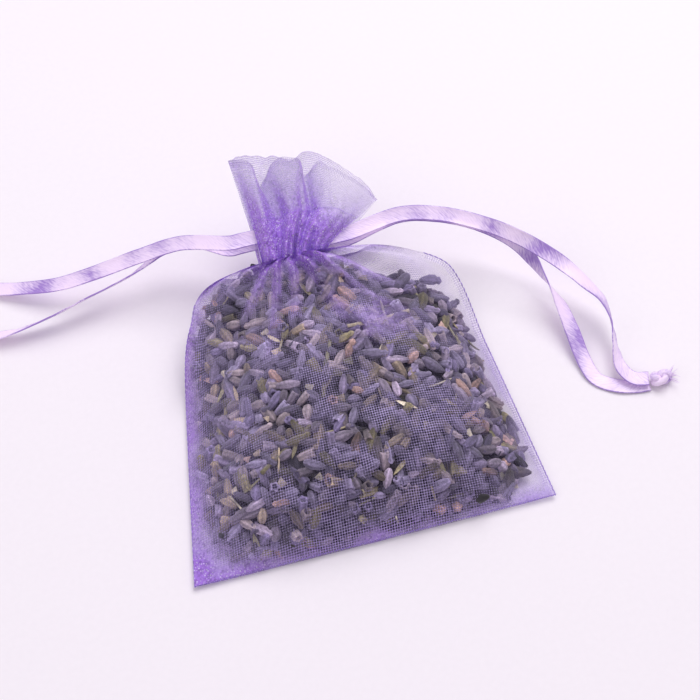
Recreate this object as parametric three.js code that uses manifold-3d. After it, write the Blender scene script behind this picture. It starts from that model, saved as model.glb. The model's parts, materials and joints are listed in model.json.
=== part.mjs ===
// Lavender sachet: a sheer organza drawstring bag, tied shut round a bed of dried lavender buds.
// Millimetres. +X runs across the bag, +Y from the bottom seam to the frill, +Z up from the table.
// The origin lies on the flat underside, midway between the bottom edge and the casing.
import * as THREE from "three";
import { mergeVertices } from "three/addons/utils/BufferGeometryUtils.js";
import Module from "manifold-3d";

const wasm = await Module();
wasm.setup();

// Organza body, lying filled
const bagWidth = 70; // across the side seams at the bottom
const shoulderWidth = 55; // that the sides would narrow to at the casing, but for the rounded shoulders
const bodyLength = 58; // bottom edge to the lower stitch row of the casing
const bellyHeight = 15; // table to the top of the filled front panel
const clothThickness = 0.4;
const seamWidth = 1.4;
const seamThickness = 0.5;
const leftSlack = 0.6; // empty cloth between a seam and the buds
const rightSlack = 1.2;
const bottomSlack = 0.4;
const riseLength = 15; // from the bottom slack to the full height of the belly
const bodyLean = 3.2; // the body would lie this much further right at the casing than at the bottom
const neckPull = 8; // but it bends back to the neck over this length

// Shape of the body: shares of its length and powers of its rounded outlines
const shoulderShare = 0.66; // the cloth starts to gather here
const liftShare = 0.6; // the side seams start to leave the table here
const shoulderPower = 12;
const crownPower = 2.6;
const neckCrownPower = 5;
const crownRoot = 0.6;
const undersidePower = 6;

// Gathered neck with its casing
const neckWidth = 15;
const neckHeight = 10.5; // table to the middle of the gathered cloth
const neckOffset = -0.8; // of the neck's middle, across from the middle of the bottom edge
const neckTilt = THREE.MathUtils.degToRad(20);
const neckGap = 2; // between the front and the rear facing
const neckPlug = 6; // gathered cloth between the buds and the casing
const stitchLand = 0.7; // cloth sewn together along each stitch row
const sideOpening = 4; // the panels part at the sides this far below the casing
const pleatCount = 4;
const pleatDepth = 1.8;
const pleatUneven = 0.2; // share by which some pleats stand out more than others
const facingDepth = 0.6; // how far the pleats push the facing inwards

// Frill above the casing
const frillLength = 13;
const frillWidth = 29;
const frillTilt = THREE.MathUtils.degToRad(58);
const frillDepth = 3.4; // pleats at the free edge
const frillMouth = 1.3; // half the opening between the front and the rear frill
const frillLean = 7; // sideways, at the free edge
const frillBow = 4; // both ends of the free edge stay back this far
const frillSlew = 6.5; // the right end stays back this much more, the left end less

// Satin drawstrings
const ribbonWidth = 3;
const ribbonThickness = 0.4;
const tailLength = 4.5; // of a strand inside the casing
const straightLength = 4; // of a strand outside it, before the first bend
const slackTravel = 3; // a strand can be let into the casing this far

// Lavender
const budLength = 5;
const budDiameter = 2.1;
const budSpacing = 5.8;
const looseBudCount = 24;
const looseLevel = 0.84; // loose buds lie where the heap's outward direction rises at least this much
const stemLength = 13;
const stemDiameter = 1;

const clearance = 0.35; // between pieces that touch

// Steps of the curved shapes
const pleatSteps = 6;
const bodySteps = 12;
const frillSteps = 4;
const strandSteps = 20;
const turnSteps = 8;
const knotSteps = 28;
const knotSides = 5;
const budSides = 5;
const stemSides = 5;
const bedTolerance = 0.06; // of the heap's surface, well within the clearance

// Sizes that follow from the ones above
const edgeLift = seamThickness / 2 + clearance;
const seamHeight = edgeLift + clothThickness;
const leftMargin = seamWidth + 2 * clearance + leftSlack;
const rightMargin = seamWidth + 2 * clearance + rightSlack;
const bottomMargin = seamWidth + 2 * clearance + bottomSlack;
const bellyLeft = -1 + (2 * leftMargin) / bagWidth;
const bellyRight = 1 - (2 * rightMargin) / bagWidth;
const tunnelGap = ribbonThickness + 2 * clearance;
const tunnelLift = neckGap / 2 + facingDepth + clothThickness + tunnelGap / 2;
const neckInner = tunnelLift + tunnelGap / 2;
const casingLength = 2 * ribbonWidth + 3 * clearance + 2 * stitchLand;
const laneOffset = (ribbonWidth + clearance) / 2;
const mouthX = neckWidth / 2;
const knotTube = ribbonWidth / 6;
const knotRadius = ribbonWidth * 0.35;
const bedSink = budDiameter / 2 + 2 * clearance; // cloth to the level that the buds are half sunk to
const bottomEdge = -bodyLength / 2;

// Strand routes past the straight stretch: x and y from the middle of the casing, height over the
// table, and the roll of the ribbon in degrees. The knots follow the same measure.
const rightFrontRoute = [
  [22.8, -0.8, 13.7, 25], [30.4, -2.9, 13.7, 20], [37.8, -6.2, 12.4, 25], [44.4, -10.4, 10.8, 40],
  [51, -17, 9, 15], [54.8, -22.2, 7.4, -15], [57.3, -26.3, 6, -45], [57.8, -30.5, 4.4, -80],
  [57.1, -35.4, 2.9, -60], [56.9, -39.6, 1.9, -20], [58.6, -42.4, 1.5, 0], [61.4, -43.3, 1.5, 0],
];
const rightRearRoute = [
  [22.8, -0.2, 12.3, 25], [30.4, -2.3, 12.4, 20], [37.8, -5.7, 11.2, 25], [43.6, -10.2, 9.5, 35],
  [46.3, -14.2, 7.8, 60], [47.9, -18.7, 6.3, 100], [49.4, -23.9, 4.5, 150], [50.1, -29.5, 2.9, 178],
  [50.6, -35.3, 1.2, 180], [51.7, -39.8, 0.4, 180], [55.2, -42.6, 0.4, 180], [59, -43.7, 0.4, 180],
  [61.4, -43.9, 0.4, 180],
];
const rightKnotPlace = [63.7, -43.7, 1.6];
const leftFrontRoute = [
  [-20.9, 4.9, 12.4, -20], [-29.1, 5.7, 10, -20], [-37.4, 6.2, 7.2, -15], [-45.7, 7.2, 4.4, -10],
  [-53.6, 9.7, 2.1, 0], [-61.5, 12.6, 0.6, 0], [-69.4, 14.2, 0.4, 0], [-77.6, 13.8, 0.4, 0],
];
const leftRearRoute = [
  [-17.2, 5.3, 10.8, -10], [-23.2, 6.1, 9.8, 20], [-31.6, 3.8, 6.7, 60], [-40.4, 2.2, 5, 60],
  [-49.1, 0.6, 3.4, 60], [-56.5, 0, 2.2, 45], [-63, 1, 1, 10], [-69.2, 3.4, 0.5, 0],
  [-74, 6.6, 0.5, 0], [-77.6, 9.4, 0.5, 0],
];
const leftKnotPlace = [-79.7, 11.8, 1.6];

const organza = { color: 0x8f6fc4, roughness: 0.6, metalness: 0 };
const seamThread = { color: 0x6f51a8, roughness: 0.8, metalness: 0 };
const satin = { color: 0xc3aeea, roughness: 0.3, metalness: 0 };
const driedBuds = { color: 0x6f6690, roughness: 0.95, metalness: 0 };
const driedCalyx = { color: 0x857aa6, roughness: 0.95, metalness: 0 };
const driedStem = { color: 0x8a8052, roughness: 0.95, metalness: 0 };

const part = new THREE.Group();
part.name = "lavender_sachet";

function addPiece(name, geometry, finish) {
  const mesh = new THREE.Mesh(geometry, new THREE.MeshStandardMaterial(finish));
  mesh.name = name;
  part.add(mesh);
  return mesh;
}

const mix = THREE.MathUtils.lerp;
const ease = THREE.MathUtils.smoothstep;
const range = (count) => Array.from({ length: count + 1 }, (_, i) => i / count);

// Closed surfaces are gathered as a list of triangles and joined at their shared corners.
const joinDistance = 1e-4;

function geometryFrom(triangles) {
  const geometry = new THREE.BufferGeometry().setFromPoints(triangles.flat());
  const joined = mergeVertices(geometry, joinDistance);
  joined.computeVertexNormals();
  return joined;
}

function quad(triangles, a, b, c, d, flipped) {
  if (flipped) {
    triangles.push([a, c, b], [a, d, c]);
  } else {
    triangles.push([a, b, c], [a, c, d]);
  }
}

// Flat outline cut into triangles from its first corner.
function fan(triangles, corners, flipped) {
  for (let k = 1; k + 1 < corners.length; k += 1) {
    const pair = flipped ? [corners[k + 1], corners[k]] : [corners[k], corners[k + 1]];
    triangles.push([corners[0], ...pair]);
  }
}

// Skin over a grid of rows and columns.
function skin(triangles, grid, flipped) {
  for (let i = 0; i + 1 < grid.length; i += 1) {
    for (let j = 0; j + 1 < grid[i].length; j += 1) {
      quad(triangles, grid[i][j], grid[i][j + 1], grid[i + 1][j + 1], grid[i + 1][j], flipped);
    }
  }
}

// Wall between an upper and a lower line of points.
function wall(triangles, upper, lower, flipped) {
  for (let j = 0; j + 1 < upper.length; j += 1) {
    quad(triangles, lower[j], lower[j + 1], upper[j + 1], upper[j], flipped);
  }
}

const column = (grid, j) => grid.map((row) => row.at(j));

// Solid between two grids that match point by point.
function slab(top, bottom) {
  const triangles = [];
  skin(triangles, top, false);
  skin(triangles, bottom, true);
  wall(triangles, top[0], bottom[0], false);
  wall(triangles, top.at(-1), bottom.at(-1), true);
  wall(triangles, column(top, 0), column(bottom, 0), true);
  wall(triangles, column(top, -1), column(bottom, -1), false);
  return geometryFrom(triangles);
}

// Bar through a line of four-cornered rings, closed at both ends.
function bar(rings, flipped) {
  const triangles = [];
  skin(triangles, rings.map((ring) => [...ring, ring[0]]), flipped);
  fan(triangles, rings[0], !flipped);
  fan(triangles, rings.at(-1), flipped);
  return geometryFrom(triangles);
}

// A station is one cross-section of the bag: its middle, tilt, half width, bow and slew.
function stationPoint(station, u, height) {
  const back = station.bow * u * u + station.slew * u;
  return new THREE.Vector3(
    station.shift + u * station.halfWidth,
    station.y - height * Math.sin(station.tilt) - back * Math.cos(station.tilt),
    station.z + height * Math.cos(station.tilt) - back * Math.sin(station.tilt),
  );
}

function bodyStation(s) {
  const gather = ease(s, shoulderShare * bodyLength, bodyLength);
  const narrowing = Math.sqrt(1 - (s / bodyLength) ** shoulderPower);
  const sides = mix(bagWidth, shoulderWidth, s / bodyLength);
  return {
    s,
    gather,
    opening: ease(s, bodyLength - sideOpening, bodyLength),
    y: bottomEdge + s,
    z: mix(seamHeight, neckHeight, ease(s, liftShare * bodyLength, bodyLength)),
    tilt: neckTilt * gather,
    shift: mix((bodyLean * s) / bodyLength, neckOffset, ease(s, bodyLength - neckPull, bodyLength)),
    bow: 0,
    slew: 0,
    halfWidth: mix(neckWidth, sides, narrowing) / 2,
  };
}

function casingStation(along) {
  return {
    y: bottomEdge + bodyLength + along * Math.cos(neckTilt),
    z: neckHeight + along * Math.sin(neckTilt),
    tilt: neckTilt,
    shift: neckOffset,
    bow: 0,
    slew: 0,
    halfWidth: neckWidth / 2,
  };
}

// The frill bends up along a circular arc from the tilt of the neck to its own.
function frillStation(w) {
  const root = casingStation(casingLength);
  const radius = frillLength / (frillTilt - neckTilt);
  const tilt = mix(neckTilt, frillTilt, w);
  return {
    w,
    y: root.y + radius * (Math.sin(tilt) - Math.sin(neckTilt)),
    z: root.z + radius * (Math.cos(neckTilt) - Math.cos(tilt)),
    tilt,
    shift: neckOffset + frillLean * w,
    bow: frillBow * w,
    slew: frillSlew * w,
    halfWidth: mix(neckWidth, frillWidth, Math.sin((w * Math.PI) / 2)) / 2,
  };
}

const acrossBelly = (u) => THREE.MathUtils.clamp((u - bellyLeft) / (bellyRight - bellyLeft), 0, 1);

// Pleats run from the shoulders to the free edge, some deeper than others.
function pleat(u) {
  const across = acrossBelly(u);
  const gain = 1 - pleatUneven * (1 - Math.cos(Math.PI * (pleatCount - 1) * across)) / 2;
  return gain * (1 - Math.cos(2 * Math.PI * pleatCount * across)) / 2;
}

// Inner face of the front panel over the body.
function frontInner(station, u) {
  const across = 2 * acrossBelly(u) - 1;
  const power = mix(crownPower, neckCrownPower, station.gather);
  const crown = (1 - Math.abs(across) ** power) ** crownRoot;
  const climb = THREE.MathUtils.clamp((station.s - bottomMargin) / riseLength, 0, 1);
  const rise = Math.sqrt(1 - (1 - climb) ** 2);
  const belly = bellyHeight - clothThickness - station.z;
  const middle = mix(belly, neckInner, station.gather);
  const swell = (middle - edgeLift) * rise * mix(crown, 1, station.opening);
  return edgeLift + swell + pleatDepth * pleat(u) * station.gather;
}

// Inner face of the rear panel, measured downwards; the middle lies flat on the table, and the
// pleats grow only as the cloth leaves it.
function rearInner(station, u) {
  const middle = mix(station.z - clothThickness, neckInner, station.gather);
  const spread = mix(1 - Math.abs(u) ** undersidePower, 1, station.opening);
  return edgeLift + (middle - edgeLift) * spread + pleatDepth * pleat(u) * station.gather ** 2;
}

// Heights of one panel from the middle of a station, outwards positive.
function bodyHeights(station, u, side) {
  const inner = side > 0 ? frontInner(station, u) : rearInner(station, u);
  return { outer: inner + clothThickness, inner };
}

function casingHeights(u) {
  const ceiling = neckInner + pleatDepth * pleat(u);
  const floor = tunnelLift - tunnelGap / 2 - facingDepth * pleat(u);
  return { outer: ceiling + clothThickness, ceiling, floor, inner: floor - clothThickness };
}

function frillHeights(station, u) {
  const mouth = clothThickness + clearance + frillMouth * (1 - u * u);
  const lift = mix(tunnelLift, mouth, ease(station.w, 0, 1));
  const middle = lift + mix(pleatDepth, frillDepth, station.w) * pleat(u);
  return { outer: middle + clothThickness, inner: middle - clothThickness };
}

const bellyColumns = range(pleatCount * pleatSteps).map((f) => mix(bellyLeft, bellyRight, f));
const columns = [-1, (bellyLeft - 1) / 2, ...bellyColumns, (bellyRight + 1) / 2, 1];
const bellyRows = range(bodySteps).map((f) => (
  mix(bottomMargin, bodyLength, (1 - Math.cos(Math.PI * f)) / 2)
));
const bodyStations = [0, ...bellyRows].map(bodyStation);
const tunnelStations = [stitchLand, casingLength - stitchLand].map(casingStation);
const landStation = casingStation(casingLength);
const frillStations = range(frillSteps).slice(1).map(frillStation);

// One panel of cloth: single over the body, split by the ribbon tunnel, double in the frill.
function panelGeometry(side) {
  const face = (station, height) => columns.map((u) => stationPoint(station, u, side * height(u)));
  const flipped = side < 0;
  const outer = [];
  const inner = [];
  bodyStations.forEach((station) => {
    const atNeck = station === bodyStations.at(-1);
    outer.push(face(station, (u) => bodyHeights(station, u, side).outer));
    inner.push(face(station, (u) => (atNeck ? casingHeights(u) : bodyHeights(station, u, side)).inner));
  });
  const first = outer.length;
  [...tunnelStations, landStation].forEach((station) => {
    outer.push(face(station, (u) => casingHeights(u).outer));
    inner.push(face(station, (u) => casingHeights(u).inner));
  });
  frillStations.forEach((station) => {
    outer.push(face(station, (u) => frillHeights(station, u).outer));
    inner.push(face(station, (u) => frillHeights(station, u).inner));
  });
  const ceiling = tunnelStations.map((station) => face(station, (u) => casingHeights(u).ceiling));
  const floor = tunnelStations.map((station) => face(station, (u) => casingHeights(u).floor));

  const triangles = [];
  skin(triangles, outer, flipped);
  skin(triangles, inner, !flipped);
  skin(triangles, ceiling, !flipped);
  skin(triangles, floor, flipped);
  wall(triangles, outer[0], inner[0], flipped);
  wall(triangles, outer.at(-1), inner.at(-1), !flipped);
  wall(triangles, ceiling[0], floor[0], !flipped);
  wall(triangles, ceiling[1], floor[1], flipped);
  [0, -1].forEach((j) => {
    const turned = (j === 0) !== flipped;
    const upper = column(outer, j);
    const lower = column(inner, j);
    const roof = column(ceiling, j);
    const base = column(floor, j);
    wall(triangles, upper.slice(0, first), lower.slice(0, first), turned);
    wall(triangles, upper.slice(first + 2), lower.slice(first + 2), turned);
    wall(triangles, upper.slice(first, first + 2), roof, turned);
    wall(triangles, base, lower.slice(first, first + 2), turned);
    const upperStart = [upper[first - 1], upper[first], roof[0]];
    const lowerStart = [base[0], lower[first], lower[first - 1]];
    const upperEnd = [upper[first + 2], upper[first + 1], roof[1]];
    const lowerEnd = [base[1], lower[first + 1], lower[first + 2]];
    fan(triangles, [...upperStart, ...lowerStart], !turned);
    fan(triangles, [...upperEnd, ...lowerEnd], turned);
  });
  return geometryFrom(triangles);
}

addPiece("front_panel", panelGeometry(1), organza);
addPiece("rear_panel", panelGeometry(-1), organza);

// Overlocked seams, held between the two panels.
function seamSlab(stations, fromU, toU) {
  const face = (height) => stations.map((station) => (
    [fromU, toU].map((u) => stationPoint(station, u, height))
  ));
  return slab(face(seamThickness / 2), face(-seamThickness / 2));
}

const unitU = 2 / bagWidth; // one millimetre at the bottom, as a share of the half width
const seamOuter = 1 - clearance * unitU;
const seamInner = seamOuter - seamWidth * unitU;
const sideStations = [bodyStation(clearance), ...bodyStations.slice(1)];
addPiece("left_side_seam", seamSlab(sideStations, -seamOuter, -seamInner), seamThread);
addPiece("right_side_seam", seamSlab(sideStations, seamInner, seamOuter), seamThread);
const bottomStations = [clearance, clearance + seamWidth].map(bodyStation);
const bottomReach = seamInner - clearance * unitU;
addPiece("bottom_seam", seamSlab(bottomStations, -bottomReach, bottomReach), seamThread);

// Space for the lavender inside the cloth, and the solid middle of the heap.
const fillStations = bodyStations.slice(1).filter((station) => station.s < bodyLength - neckPlug);
const spaceTop = (station, u) => frontInner(station, u) - clearance;
const spaceBottom = (station, u) => clearance - rearInner(station, u);

function coreTop(station, u) {
  const depth = spaceTop(station, u) - spaceBottom(station, u);
  return spaceBottom(station, u) + Math.max(depth / 4, depth - bedSink);
}

const fillFace = (height) => fillStations.map((station) => (
  bellyColumns.map((u) => stationPoint(station, u, height(station, u)))
));

function solidFrom(geometry) {
  const bare = geometry.clone();
  bare.deleteAttribute("normal");
  bare.deleteAttribute("uv");
  const joined = mergeVertices(bare, joinDistance);
  return new wasm.Manifold(new wasm.Mesh({
    numProp: 3,
    vertProperties: new Float32Array(joined.attributes.position.array),
    triVerts: new Uint32Array(joined.index.array),
  }));
}

function geometryOf(solid) {
  const mesh = solid.getMesh();
  const geometry = new THREE.BufferGeometry();
  geometry.setAttribute("position", new THREE.BufferAttribute(mesh.vertProperties, mesh.numProp));
  geometry.setIndex(new THREE.BufferAttribute(mesh.triVerts, 1));
  geometry.computeVertexNormals();
  return geometry;
}

// A bud is a dried calyx: a narrow foot, a swollen middle and a blunt mouth.
function budGeometry(extra) {
  const radius = budDiameter / 2 + extra;
  const half = budLength / 2 + extra;
  const outline = [[0, -1], [1, -0.3], [0.9, 0.45], [0.4, 1], [0, 1]];
  const points = outline.map(([r, along]) => new THREE.Vector2(r * radius, along * half));
  return new THREE.LatheGeometry(points, budSides);
}

function stemGeometry(extra) {
  const radius = stemDiameter / 2 + extra;
  return new THREE.CylinderGeometry(radius, radius, stemLength + 2 * extra, stemSides);
}

// Point on the heap with its outward direction.
function heapPlace({ u, s }) {
  const at = (du, ds) => {
    const station = bodyStation(s + ds);
    return stationPoint(station, u + du, coreTop(station, u + du));
  };
  const step = 0.2;
  const point = at(0, 0);
  const alongX = at(step * unitU, 0).sub(point);
  const alongY = at(0, step).sub(point);
  return { point, outward: alongX.cross(alongY).normalize() };
}

// Placing of a long shape on the heap, turned by an angle and raised along the outward direction.
function heapMatrix(site, raise) {
  const { point, outward } = heapPlace(site);
  const level = new THREE.Vector3(Math.cos(site.turn), Math.sin(site.turn), 0);
  const axis = level.addScaledVector(outward, -level.dot(outward)).normalize();
  const sideways = new THREE.Vector3().crossVectors(axis, outward);
  const place = new THREE.Matrix4().makeBasis(sideways, axis, outward);
  return place.setPosition(point.addScaledVector(outward, raise));
}

const solidOnHeap = (geometry, site, raise) => (
  solidFrom(geometry.applyMatrix4(heapMatrix(site, raise)))
);

const firstFillRow = fillStations[0].s + budLength / 3;
const lastFillRow = fillStations.at(-1).s - budLength / 3;

// Buds lie in staggered rows, each one turned by the golden angle.
const goldenAngle = Math.PI * (3 - Math.sqrt(5));
const stagger = 0.15; // share of the spacing by which the rows step left and right
const budSites = [];
const rowCount = Math.floor((lastFillRow - firstFillRow) / (budSpacing * Math.sin(Math.PI / 3)));
range(rowCount).forEach((f, row) => {
  const s = mix(firstFillRow, lastFillRow, f);
  const width = bodyStation(s).halfWidth * (bellyRight - bellyLeft);
  const count = Math.max(2, Math.round(width / budSpacing));
  for (let k = 0; k < count; k += 1) {
    const share = (k + 0.5 + (row % 2 ? stagger : -stagger)) / count;
    budSites.push({ u: mix(bellyLeft, bellyRight, share), s, turn: budSites.length * goldenAngle });
  }
});

// Stems lie across the middle of the heap: place across, place along and turn.
const stemPlaces = [[-0.42, 0.3, 0.5], [0.34, 0.42, 2.4], [-0.1, 0.62, 1.2], [0.3, 0.8, 0.1]];
const stems = stemPlaces.map(([u, f, turn]) => ({ u, s: mix(firstFillRow, lastFillRow, f), turn }));
const budRaise = clearance;
const stemRaise = stemDiameter / 2;
const stemLines = stems.map((stem) => {
  const place = heapMatrix(stem, stemRaise);
  const ends = [-1, 1].map((end) => new THREE.Vector3(0, (end * stemLength) / 2, 0).applyMatrix4(place));
  return new THREE.Line3(...ends);
});

// Loose buds are picked all over the top of the heap, clear of the stems and of each other.
function clearOfStems(point) {
  const reach = (budLength + stemDiameter) / 2 + 2 * clearance;
  return stemLines.every((line) => (
    line.closestPointToPoint(point, true, new THREE.Vector3()).distanceTo(point) > reach
  ));
}

const goldenShare = (index) => (index * goldenAngle) % 1;
const pickOrder = budSites.map((_, i) => i).sort((a, b) => goldenShare(a) - goldenShare(b));
const looseSites = [];
pickOrder.forEach((index) => {
  const site = budSites[index];
  const { point, outward } = heapPlace(site);
  const apart = looseSites.every((other) => (
    heapPlace(other).point.distanceTo(point) > budLength + 2 * clearance
  ));
  const room = looseSites.length < looseBudCount;
  if (room && apart && outward.z > looseLevel && clearOfStems(point)) {
    looseSites.push(site);
  }
});

const space = solidFrom(slab(fillFace(spaceTop), fillFace(spaceBottom)));
const core = solidFrom(slab(fillFace(coreTop), fillFace(spaceBottom)));
// The other buds are fixed in the heap.
const sunkBuds = budSites.filter((site) => !looseSites.includes(site)).map((site) => (
  solidOnHeap(budGeometry(0), site, 0)
));
const pockets = [
  ...looseSites.map((site) => solidOnHeap(budGeometry(clearance), site, budRaise)),
  ...stems.map((stem) => solidOnHeap(stemGeometry(clearance), stem, stemRaise)),
];
const heap = wasm.Manifold.union([core, ...sunkBuds])
  .intersect(space)
  .subtract(wasm.Manifold.union(pockets));
// Crumbs that the pockets cut free are dropped, and corners that hardly shape the heap.
const [bed] = heap.decompose().sort((a, b) => b.volume() - a.volume());
addPiece("bud_bed", geometryOf(bed.simplify(bedTolerance)), driedBuds);

const numbered = (name, index) => `${name}_${String(index + 1).padStart(2, "0")}`;
looseSites.forEach((site, index) => {
  const bud = solidOnHeap(budGeometry(0), site, budRaise).intersect(space);
  addPiece(numbered("loose_bud", index), geometryOf(bud), driedCalyx);
});
stems.forEach((stem, index) => {
  const twig = solidOnHeap(stemGeometry(0), stem, stemRaise).intersect(space);
  addPiece(numbered("stem", index), geometryOf(twig), driedStem);
});

// Point of the casing: across the bag, along the casing from its middle, and out of the middle plane.
function casingPoint(x, along, height) {
  const station = casingStation(casingLength / 2 + along);
  return stationPoint({ ...station, halfWidth: 1 }, x, height);
}

const casingMiddle = casingPoint(0, 0, 0);
const fromCasing = ([x, y, z]) => new THREE.Vector3(casingMiddle.x + x, casingMiddle.y + y, z);

// Corners of a ribbon's section: across its width and through its thickness.
const ribbonCorners = [[-1, 1], [1, 1], [1, -1], [-1, -1]].map(([across, out]) => ({
  across: (across * ribbonWidth) / 2,
  out: (out * ribbonThickness) / 2,
}));

// The two ribbons lie side by side in the tunnels, the right one nearer the body. Each runs through
// both tunnels and turns round the far side of the neck, with its width along the casing.
function wrapGeometry(side) {
  const start = mouthX - tailLength - slackTravel - clearance;
  const turnX = -(mouthX + clearance);
  const turn = range(turnSteps).map((f) => [
    turnX - tunnelLift * Math.sin(Math.PI * f),
    tunnelLift * Math.cos(Math.PI * f),
  ]);
  const path = [[start, tunnelLift], ...turn, [start, -tunnelLift]];
  const rings = path.map(([x, height], i) => {
    const before = path[Math.max(i - 1, 0)];
    const after = path[Math.min(i + 1, path.length - 1)];
    const ahead = new THREE.Vector2(after[0] - before[0], after[1] - before[1]).normalize();
    return ribbonCorners.map(({ across, out }) => casingPoint(
      side * (x - ahead.y * out),
      across - side * laneOffset,
      height + ahead.x * out,
    ));
  });
  return bar(rings, side > 0);
}

// A strand leaves its tunnel straight along X and then follows its route, rolled at each point.
function strandGeometry(side, height, route) {
  const stops = [mouthX - tailLength, mouthX, mouthX + straightLength / 2, mouthX + straightLength];
  const straight = stops.map((x) => casingPoint(side * x, -side * laneOffset, height));
  const points = [...straight, ...route.map(fromCasing)];
  const rolls = [
    ...stops.map(() => side * neckTilt),
    ...route.map((stop) => THREE.MathUtils.degToRad(stop[3])),
  ];
  const curve = new THREE.CatmullRomCurve3(points, false, "centripetal");
  const rings = range(strandSteps).map((f) => {
    const middle = curve.getPointAt(f);
    const ahead = curve.getTangentAt(f);
    const spot = curve.getUtoTmapping(f) * (points.length - 1);
    const index = Math.min(Math.floor(spot), points.length - 2);
    const roll = mix(rolls[index], rolls[index + 1], spot - index);
    const level = new THREE.Vector3(0, 0, 1).cross(ahead).normalize();
    const wide = level.applyAxisAngle(ahead, roll);
    const thick = new THREE.Vector3().crossVectors(ahead, wide);
    return ribbonCorners.map(({ across, out }) => (
      middle.clone().addScaledVector(wide, across).addScaledVector(thick, out)
    ));
  });
  return bar(rings, true);
}

addPiece("left_drawstring_wrap", wrapGeometry(-1), satin);
addPiece("right_drawstring_wrap", wrapGeometry(1), satin);
addPiece("left_front_strand", strandGeometry(-1, tunnelLift, leftFrontRoute), satin);
addPiece("left_rear_strand", strandGeometry(-1, -tunnelLift, leftRearRoute), satin);
addPiece("right_front_strand", strandGeometry(1, tunnelLift, rightFrontRoute), satin);
addPiece("right_rear_strand", strandGeometry(1, -tunnelLift, rightRearRoute), satin);

// Overhand knot that joins the two ends of a drawstring: two turns that cross three times.
function addKnot(name, place) {
  const coil = new THREE.TorusKnotGeometry(knotRadius, knotTube, knotSteps, knotSides, 2, 3);
  addPiece(name, coil, satin).position.copy(fromCasing(place));
}

addKnot("left_knot", leftKnotPlace);
addKnot("right_knot", rightKnotPlace);

export default part;
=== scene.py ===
"""Lavender sachet: a sheer organza drawstring bag of dried lavender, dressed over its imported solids."""
import json
import math

import bpy
import numpy as np
from bpy.props import FloatProperty, FloatVectorProperty, IntProperty, PointerProperty
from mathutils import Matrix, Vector, noise
from mathutils.bvhtree import BVHTree

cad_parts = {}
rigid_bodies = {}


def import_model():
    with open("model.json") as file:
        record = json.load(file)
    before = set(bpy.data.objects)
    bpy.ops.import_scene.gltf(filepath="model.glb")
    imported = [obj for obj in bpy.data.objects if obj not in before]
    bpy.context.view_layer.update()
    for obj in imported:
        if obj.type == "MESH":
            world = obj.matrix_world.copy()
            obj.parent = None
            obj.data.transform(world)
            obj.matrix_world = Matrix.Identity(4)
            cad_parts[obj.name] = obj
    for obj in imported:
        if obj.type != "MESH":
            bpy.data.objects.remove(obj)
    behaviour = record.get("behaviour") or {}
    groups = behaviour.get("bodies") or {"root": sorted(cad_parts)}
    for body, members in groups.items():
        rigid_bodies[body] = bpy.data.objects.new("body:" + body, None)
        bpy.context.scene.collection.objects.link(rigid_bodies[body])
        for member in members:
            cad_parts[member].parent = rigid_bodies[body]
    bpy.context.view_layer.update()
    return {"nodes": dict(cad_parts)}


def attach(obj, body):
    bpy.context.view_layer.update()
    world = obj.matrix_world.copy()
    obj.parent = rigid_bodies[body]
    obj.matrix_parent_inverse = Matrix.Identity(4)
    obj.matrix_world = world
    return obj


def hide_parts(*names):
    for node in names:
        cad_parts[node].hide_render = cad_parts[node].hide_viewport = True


bl_info = {
    "name": "Lavender Sachet",
    "version": (1, 0, 0),
    "blender": (4, 5, 0),
    "location": "3D View > Sidebar > Sachet",
    "description": "Builds an organza drawstring sachet of dried lavender over its packed solids",
    "category": "Object",
}

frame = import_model()

MM = 0.001

# Kinds of node that are used most. Inputs 1 and 2 of a map range are what it reads, 3 and 4 what it gives.
MATH = "ShaderNodeMath"
RANGE = "ShaderNodeMapRange"
RAMP = "ShaderNodeValToRGB"

# Form of the filled bag, as in the solids, in millimetres and shares of the body's length.
SEAM_HEIGHT = 1.0
LEFT_MARGIN = 2.7
RIGHT_MARGIN = 3.3
BOTTOM_MARGIN = 2.5
RISE_LENGTH = 15.0
SHOULDER_SHARE = 0.66
LIFT_SHARE = 0.6
SHOULDER_POWER = 12.0
CROWN_POWER = 2.6
NECK_CROWN_POWER = 5.0
CROWN_ROOT = 0.6
UNDERSIDE_POWER = 6.0
NECK_TILT = math.radians(20)
NECK_HEIGHT = 10.5
NECK_OFFSET = -0.8
BODY_LEAN = 3.2
NECK_PULL = 8.0
NECK_INNER = 3.1
CLOTH = 0.4
SIDE_OPENING = 4.0
PLEAT_COUNT = 4
PLEAT_DEPTH = 1.8
PLEAT_UNEVEN = 0.2
CASING_LENGTH = 8.45

# Tunnels of the casing and the ribbons in them, as in the solids.
TUNNEL_LIFT = 2.55
TUNNEL_GAP = 1.1
LANE_OFFSET = 1.675
TAIL_LENGTH = 4.5
STRAIGHT_LENGTH = 4.0
SLACK_TRAVEL = 3.0
CLEARANCE = 0.35
MOUTH = 7.5
WRAP_START = MOUTH - TAIL_LENGTH - SLACK_TRAVEL - CLEARANCE

# Place where a ribbon turns back inside the drawn cloth, and how far it bulges there.
WRAP_TURN = 5.4
WRAP_REACH = 0.8

# Forms of the thin cloth that the solids leave out, in millimetres.
EDGE_LIFT = 0.2
TABLE_GAP = 0.15
LOWEST = 0.12
CORNER_ROUND = 0.12
PUFF_DEPTH = 3.4
LINING_GATHER = 2.8
CASING_TOP = 2.5
FLARE_SHIFT = 4.0
FLARE_POWER = 1.3
CASING_SLEW = 0.38
# Fine gathers of the front cloth, 1, and the rear cloth, -1: depth, phase, and how far they run down.
GATHERS = {1: (1.9, 0.4, 12), -1: (2.8, 2.1, 17)}
# The sides of the two cloths come together between these places along the body, and part again over the
# last bit under the casing.
SIDE_JOIN = (40, 47)
SIDE_FREE = 1.0

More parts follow.
